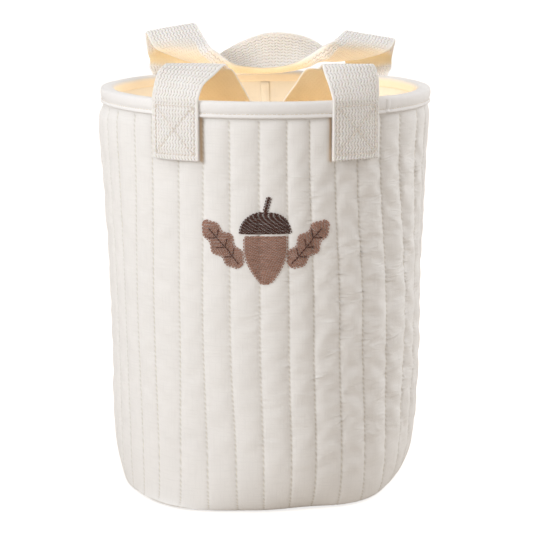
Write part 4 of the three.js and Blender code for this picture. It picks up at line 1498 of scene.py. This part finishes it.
class BIN_OT_straps(bpy.types.Operator):
    """Add the two handles: one length of zigzag cotton webbing each, sewn down at both ends"""

    bl_idname = "storage_bin.straps"
    bl_label = "Webbing handles"

    def execute(self, context):
        sizes, handles = context.scene.bin_sizes, context.scene.handle_sizes
        colours = context.scene.bin_colours
        material = self.webbing(colours, handles)
        for side in (FRONT, BACK):
            self.strap(sizes, handles, side, material)
        return {"FINISHED"}

    def webbing(self, colours, handles):
        """Cotton webbing, loom woven: soft matt ribs, painted shade in their gaps and a fuzz of fibres."""
        material, tree, shader = new_material("Cotton webbing, woven in zigzag ribs", 0.88, 0.3)
        shader.inputs["Subsurface Weight"].default_value = 0.08
        shader.inputs["Subsurface Radius"].default_value = (1.0, 0.62, 0.32)
        shader.inputs["Subsurface Scale"].default_value = 0.0016
        place = add_node(tree, "UVMap")
        ribs = self.ribs(tree, place, handles)
        # Painted shade in the gaps between the ribs, with the webbing's own cream on top of them.
        stops = (0.0, list(colours.webbing_gap_shade)), (0.5, list(colours.webbing))
        base = add_node(tree, "ValToRGB", ribs, stops=stops)
        glow = add_node(tree, "Attribute", output="Fac", attribute_name="glow")
        lit = list(colours.webbing_glow)
        base = add_node(tree, "Mix", glow, sockets={6: base, 7: lit}, output=2, data_type="RGBA")
        cloud = add_node(tree, "TexNoise", place, sockets={"Scale": 0.06, "Detail": 3.0})
        uneven = add_node(tree, "ValToRGB", cloud, stops=((0.3, (0.965, 0.96, 0.955, 1)), (0.7, WHITE)))
        base = add_node(
            tree, "Mix", 1.0, sockets={6: base, 7: uneven}, output=2, data_type="RGBA", blend_type="MULTIPLY"
        )
        tree.links.new(base, shader.inputs["Base Color"])
        fibre = add_node(tree, "Mapping", place, sockets={"Scale": (3.2, 1.1, 1)})
        yarn = add_node(tree, "TexNoise", fibre, sockets={"Scale": 1.0, "Detail": 3.0})
        clear = add_node(tree, "Math", glow, -0.9, 1.0, operation="MULTIPLY_ADD")
        relief = {"Strength": clear, "Distance": handles.rib_height, "Height": ribs}
        woven = add_node(tree, "Bump", sockets=relief)
        fuzz = {"Strength": 0.8, "Distance": 0.00025, "Height": yarn, "Normal": woven}
        tree.links.new(add_node(tree, "Bump", sockets=fuzz), shader.inputs["Normal"])
        return material

    def ribs(self, tree, place, handles):
        """Zigzag ribs that lean to and fro along the webbing: 0 between them and 1 on top."""
        across, along = add_node(tree, "SeparateXYZ", place).node.outputs[:2]
        rib, zigzag = handles.rib_pitch / MM, handles.zigzag_pitch / MM
        zig = add_node(tree, "Math", along, zigzag / 2, operation="PINGPONG")
        lean = add_node(tree, "Math", zig, 1.1 * math.pi / zigzag, operation="MULTIPLY")
        phase = add_node(tree, "Math", across, math.pi / rib, lean, operation="MULTIPLY_ADD")
        wave = add_node(tree, "Math", add_node(tree, "Math", phase, operation="SINE"), operation="ABSOLUTE")
        ridge = add_node(tree, "Math", wave, 0.7, operation="POWER")
        beat = add_node(tree, "Math", along, 2 * math.pi / zigzag, operation="MULTIPLY")
        leg = add_node(tree, "Math", add_node(tree, "Math", beat, operation="SINE"), operation="ABSOLUTE")
        turns = add_node(tree, "Math", leg, -1.3, 1.1, operation="MULTIPLY_ADD")
        ridge = add_node(tree, "Math", ridge, turns, operation="MAXIMUM")
        edge = add_node(tree, "Math", across, handles.width / MM / 2, operation="PINGPONG")
        plain = add_node(tree, "MapRange", edge, 1.0, 2.6, 1.0, 0.0)
        return add_node(tree, "Math", ridge, plain, operation="MAXIMUM")

    def strap(self, sizes, handles, side, material):
        columns = STRAP_COLUMNS
        rows = strap_rows(sizes, handles, side, STRAP_ROW)
        total = rows[-1][4]
        half = handles.thickness / 2
        around = 2 * columns
        bm = bmesh.new()
        uv = bm.loops.layers.uv.new("UVMap")
        bmesh.ops.create_grid(bm, x_segments=around, y_segments=len(rows) - 1, size=0.5)
        glow = bm.verts.layers.float.new("glow")
        seams = box_stitch_lines(handles, STITCHED_TOP)
        outward = outward_side(rows)
        places = {}
        for vert in bm.verts:
            turn = round((vert.co.x + 0.5) * around)
            number = round((vert.co.y + 0.5) * (len(rows) - 1))
            outer = turn <= columns
            across = turn / columns if outer else 2 - turn / columns
            row = rows[number]
            along = row[4]
            wide = across * handles.width
            end = min(along, total - along)
            dent = 0.0
            if end < handles.sewn_depth + 0.002:
                gap = min(line_distance(wide, end, line) for line in seams)
                dent = math.exp(-((gap / DENT_NEAR) ** 2))
                dent += DENT_SHARE * math.exp(-((gap / DENT_WIDE) ** 2))
            rim = min(across, 1 - across) * handles.width
            thin = math.sqrt(1 - (1 - min(rim / SELVEDGE, 1)) ** 2)
            lift = half * thin
            facing = 1 if outer else -1
            if outer:
                lift -= DENT_DEPTH * dent * thin
            softness = SOFT_WAVE * noise.noise(Vector((across * 1.4, along * 24, side["face"] * 3.0)))
            softness *= smooth(handles.sewn_depth - 0.004, handles.sewn_depth + 0.02, end)
            vert.co = strap_point(row, across, outward * (lift * facing + softness))
            vert[glow] = self.glow(side, vert.co, outer, across, end)
            places[vert] = (wide / MM, along / MM)
        for face in bm.faces:
            for corner in face.loops:
                corner[uv].uv = places[corner.vert]
        bmesh.ops.remove_doubles(bm, verts=bm.verts, dist=2e-6)
        ends = [edge for edge in bm.edges if edge.is_boundary]
        bmesh.ops.holes_fill(bm, edges=ends, sides=0)
        name = side["name"]
        piece = finish_mesh(name + "_strap", bm, material)
        nodes = [name + "_left_strap_end", name + "_right_strap_end", name + "_handle"]
        hand_in(piece, "webbing", *nodes, body=None)
        start, end = side["blend"]
        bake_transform(piece)

    def glow(self, side, point, outer, across, end):
        """How much of the lining's warm light a place on the webbing catches.

        It fades out upwards, towards the sewn ends and, outside, across the fold of the grip.
        """
        if side["face"] < 0:
            return 0.0 if outer else INNER_GLOW * smooth(0.066, 0.090, end)
        if outer:
            inside = smooth(0.326, 0.312, point.z) * smooth(0.085, 0.105, end)
            lens = LENS_GLOW * inside * smooth(0.8, 0.74, across)
            lip = LIP_GLOW * inside * smooth(0.311, 0.300, point.z) * smooth(0.84, 0.9, across)
            return max(lens, lip)
        low, at_rim = smooth(0.330, 0.312, point.z), smooth(0.094, 0.098, point.y)
        return INNER_GLOW * low * at_rim * smooth(0.041, 0.048, end) + 0.1


class BIN_OT_strap_stitches(bpy.types.Operator):
    """Add the stitches that hold the webbing to the wall: a box with a cross on each end"""

    bl_idname = "storage_bin.strap_stitches"
    bl_label = "Strap stitches"

    def execute(self, context):
        sizes, handles = context.scene.bin_sizes, context.scene.handle_sizes
        # Heavier spun polyester, bleached as the webbing: only its roundness and gloss show on the ribs.
        cream = context.scene.bin_colours.strap_thread
        material = thread_material("Polyester thread, straps", cream, 0.04)
        for side in (FRONT, BACK):
            rows = strap_rows(sizes, handles, side, STITCH_ROW)
            total = rows[-1][4]
            outward = outward_side(rows)
            places, tones = [], []
            for flip in (False, True):
                for (x1, y1), (x2, y2) in box_stitch_lines(handles, STITCHED_TOP):
                    count = max(round(math.hypot(x2 - x1, y2 - y1) / STRAP_STITCH), 1)
                    for number in range(count):
                        ends = []
                        for share in ((number + 0.12) / count, (number + 0.88) / count):
                            across, up = lerp(x1, x2, share), lerp(y1, y2, share)
                            along = total - up if flip else up
                            row = rows[min(round(along / total * (len(rows) - 1)), len(rows) - 1)]
                            lift = outward * (handles.thickness / 2 + 0.00002)
                            ends.append((strap_point(row, across / handles.width, lift), row[5] * outward))
                        (start, normal), (end, _) = ends
                        places.append(stitch_place(start, end, normal, *STRAP_THREAD))
                        tones.append(noise.noise(Vector((number * 1.9, x1 * 900, y2 * 700))))
            name = side["name"]
            piece = stamped(name + "_strap_stitches", stitch_shape(6, 4), places, tones, material)
            seams = ("left_foot", "left_top", "right_foot", "right_top")
            hand_in(piece, "cream_thread", *("%s_%s_stitches" % (name, seam) for seam in seams))
        return {"FINISHED"}


# Motif

ACORN_WIDTH, ACORN_LENGTH = 30, 34
CAP_WIDTH, CAP_LENGTH = 36, 15
LEAF_WIDTH, LEAF_LENGTH = 19, 40
MOTIF_HEIGHT = 190
MOTIF_RADIUS = 118.5
FILL_PITCH, FILL_STITCH = 0.62, 3.6  # from row to row, and the length of a stitch


def acorn_half(share):
    return (2 + (ACORN_WIDTH - 2) * math.sin(math.pi * min(share * 0.62 + 0.02, 0.5)) ** 0.8) / 2


def cap_half(share):
    return (5 + (CAP_WIDTH - 5) * math.sqrt(max(1 - share * share, 0))) / 2


def leaf_half(share):
    lobes = 0.82 + 0.18 * math.cos(share * 6 * math.pi - math.pi)
    return (1.5 + (LEAF_WIDTH - 1.5) * math.sin(math.pi * (0.08 + share * 0.88)) ** 0.6 * lobes) / 2


def stem_half(share):
    return 1.5  # as wide at its top as at its foot


CAP_FOOT = ACORN_LENGTH / 2 - 4 + 1.5
# Name, thread, root x and z, lean, length, half width along it, and the CAD node, in millimetres.
SHAPES = (
    ("acorn_nut", "brown_thread", (0, -ACORN_LENGTH / 2 - 4), 0, ACORN_LENGTH, acorn_half, "motif_acorn"),
    ("acorn_cap", "dark_thread", (0, CAP_FOOT), 0, CAP_LENGTH, cap_half, "motif_acorn_cap"),
    ("acorn_stem", "dark_thread", (0, CAP_FOOT + CAP_LENGTH + 0.75), 0.25, 10, stem_half, "motif_acorn_stem"),
    ("leaf_left", "brown_thread", (-CAP_WIDTH / 2 + 1, -8), -0.72, LEAF_LENGTH, leaf_half, "motif_leaf_left"),
    ("leaf_right", "brown_thread", (CAP_WIDTH / 2 - 1, -8), 0.72, LEAF_LENGTH, leaf_half, "motif_leaf_right"),
)


class BIN_OT_motif(bpy.types.Operator):
    """Add the stitched motif: an acorn between two leaves, filled with short rows of thread"""

    bl_idname = "storage_bin.motif"
    bl_label = "Stitched motif"

    def execute(self, context):
        colours = context.scene.bin_colours
        # Rayon filament, laid flat in close rows: silkier than sewing thread.
        threads = {
            "brown_thread": thread_material(
                "Rayon embroidery thread, brown", colours.brown_thread, 0.09, 0.35, 0.5
            ),
            "dark_thread": thread_material(
                "Rayon embroidery thread, dark", colours.dark_thread, 0.12, 0.3, 0.5
            ),
        }
        self.trees = skin("quilted_wall")
        for name, thread, root, lean, long, half, node in SHAPES:
            stitches = self.fill(root, lean, long, half) + self.outline(root, lean, long, half)
            places = [self.lay(*stitch) for stitch in stitches]
            tones = [
                noise.noise(Vector((number * 0.77, *stitch[0]))) * 1.3
                for number, stitch in enumerate(stitches)
            ]
            piece = stamped(name, stitch_shape(5, 4), places, tones, threads[thread])
            hand_in(piece, thread, node)
            if name.startswith("leaf"):
                places = [self.lay(*stitch) for stitch in self.veins(root, lean)]
                tones = [noise.noise(Vector((number * 1.1, 0, 2))) for number in range(len(places))]
                vein = stamped(name + "_veins", stitch_shape(5, 4), places, tones, threads["dark_thread"])
                hand_in(vein, "dark_thread")
        return {"FINISHED"}

    def spot(self, x, z, lift):
        """A point of the motif on the wall, from millimetres about its middle."""
        height = (MOTIF_HEIGHT + z) * MM
        point, normal = skin_point(self.trees, x / MOTIF_RADIUS, height)
        return point + normal * lift * MM, normal

    def lay(self, start, end, wide, lift):
        (first, one), (last, two) = self.spot(*start, lift), self.spot(*end, lift)
        normal = (one + two + Vector((0, -1, 0))).normalized()
        return stitch_place(first, last, normal, wide * MM, 0.3 * MM)

    def place(self, root, lean, along, out):
        run, side = (math.sin(lean), math.cos(lean)), (math.cos(lean), -math.sin(lean))
        return root[0] + run[0] * along + side[0] * out, root[1] + run[1] * along + side[1] * out

    def fill(self, root, lean, long, half):
        """Rows of short stitches across the shape, each row a third of a stitch further on."""
        stitch = FILL_STITCH
        rows = max(round(long / FILL_PITCH), 2)
        found = []
        for number in range(rows):
            share = (number + 0.5) / rows
            width = half(share) - 0.4
            reach = -width - stitch * (number % 3) / 3
            while reach < width:
                begin, finish = max(reach, -width), min(reach + stitch, width)
                if finish - begin > 0.5:
                    wobble = 0.12 * noise.noise(Vector((number, reach, 2.5)))
                    start = self.place(root, lean, share * long + wobble, begin + 0.1)
                    end = self.place(root, lean, share * long + wobble + 0.15, finish - 0.1)
                    found.append((start, end, 0.36, 0.55 + 0.1 * (number % 2)))
                reach += stitch
        return found

    def outline(self, root, lean, long, half):
        """A running stitch round the edge."""
        steps = 60
        path = [self.place(root, lean, long * i / steps, -half(i / steps)) for i in range(steps + 1)]
        back = [1 - i / steps for i in range(steps + 1)]
        path += [self.place(root, lean, long * share, half(share)) for share in back]
        path.append(path[0])
        found, start, gone = [], path[0], 0
        for before, after in zip(path, path[1:]):
            gone += math.dist(before, after)
            if gone > 1.9:
                inner = (lerp(start[0], after[0], 0.12), lerp(start[1], after[1], 0.12))
                outer = (lerp(start[0], after[0], 0.9), lerp(start[1], after[1], 0.9))
                found.append((inner, outer, 0.42, 0.6))
                start, gone = after, 0
        return found

    def veins(self, root, lean):
        """The midrib of a leaf and three pairs of side veins in dark thread."""
        found = []
        for number in range(14):
            begin, finish = 2 + number * 2.3, 2 + number * 2.3 + 2.2
            found.append((self.place(root, lean, begin, 0), self.place(root, lean, finish, 0), 0.5, 1.0))
        for pair in range(3):
            along = 9 + pair * 8.5
            for sign in (-1, 1):
                for step in range(2):
                    one = self.place(root, lean, along + step * 1.7, sign * (0.6 + step * 2.2))
                    two = self.place(root, lean, along + (step + 1) * 1.7, sign * (0.6 + (step + 1) * 2.2))
                    found.append((one, two, 0.45, 1.0))
        return found


# Add-on


OPERATORS = (
    BIN_OT_stage,
    BIN_OT_quilted_wall,
    BIN_OT_quilting_thread,
    BIN_OT_base_panel,
    BIN_OT_lining,
    BIN_OT_binding,
    BIN_OT_straps,
    BIN_OT_strap_stitches,
    BIN_OT_motif,
)


class BIN_PT_panel(bpy.types.Panel):
    """Sizes, colours and the buttons that build the bin"""

    bl_label = "Storage bin"
    bl_idname = "BIN_PT_panel"
    bl_space_type = "VIEW_3D"
    bl_region_type = "UI"
    bl_category = "Storage bin"

    def draw(self, context):
        for group in (context.scene.bin_sizes, context.scene.handle_sizes, context.scene.bin_colours):
            box = self.layout.box()
            for name in group.bl_rna.properties.keys():
                if name not in ("rna_type", "name"):
                    box.prop(group, name)
        for operator in OPERATORS:
            self.layout.operator(operator.bl_idname)


CLASSES = (BinSizes, HandleSizes, BinColours) + OPERATORS + (BIN_PT_panel,)


def register():
    for cls in CLASSES:
        bpy.utils.register_class(cls)
    bpy.types.Scene.bin_sizes = PointerProperty(type=BinSizes)
    bpy.types.Scene.handle_sizes = PointerProperty(type=HandleSizes)
    bpy.types.Scene.bin_colours = PointerProperty(type=BinColours)


def unregister():
    del bpy.types.Scene.bin_colours
    del bpy.types.Scene.handle_sizes
    del bpy.types.Scene.bin_sizes
    for cls in reversed(CLASSES):
        bpy.utils.unregister_class(cls)


def main():
    register()
    for operator in OPERATORS:
        group, name = operator.bl_idname.split(".")
        getattr(getattr(bpy.ops, group), name)()


if __name__ == "__main__":
    main()
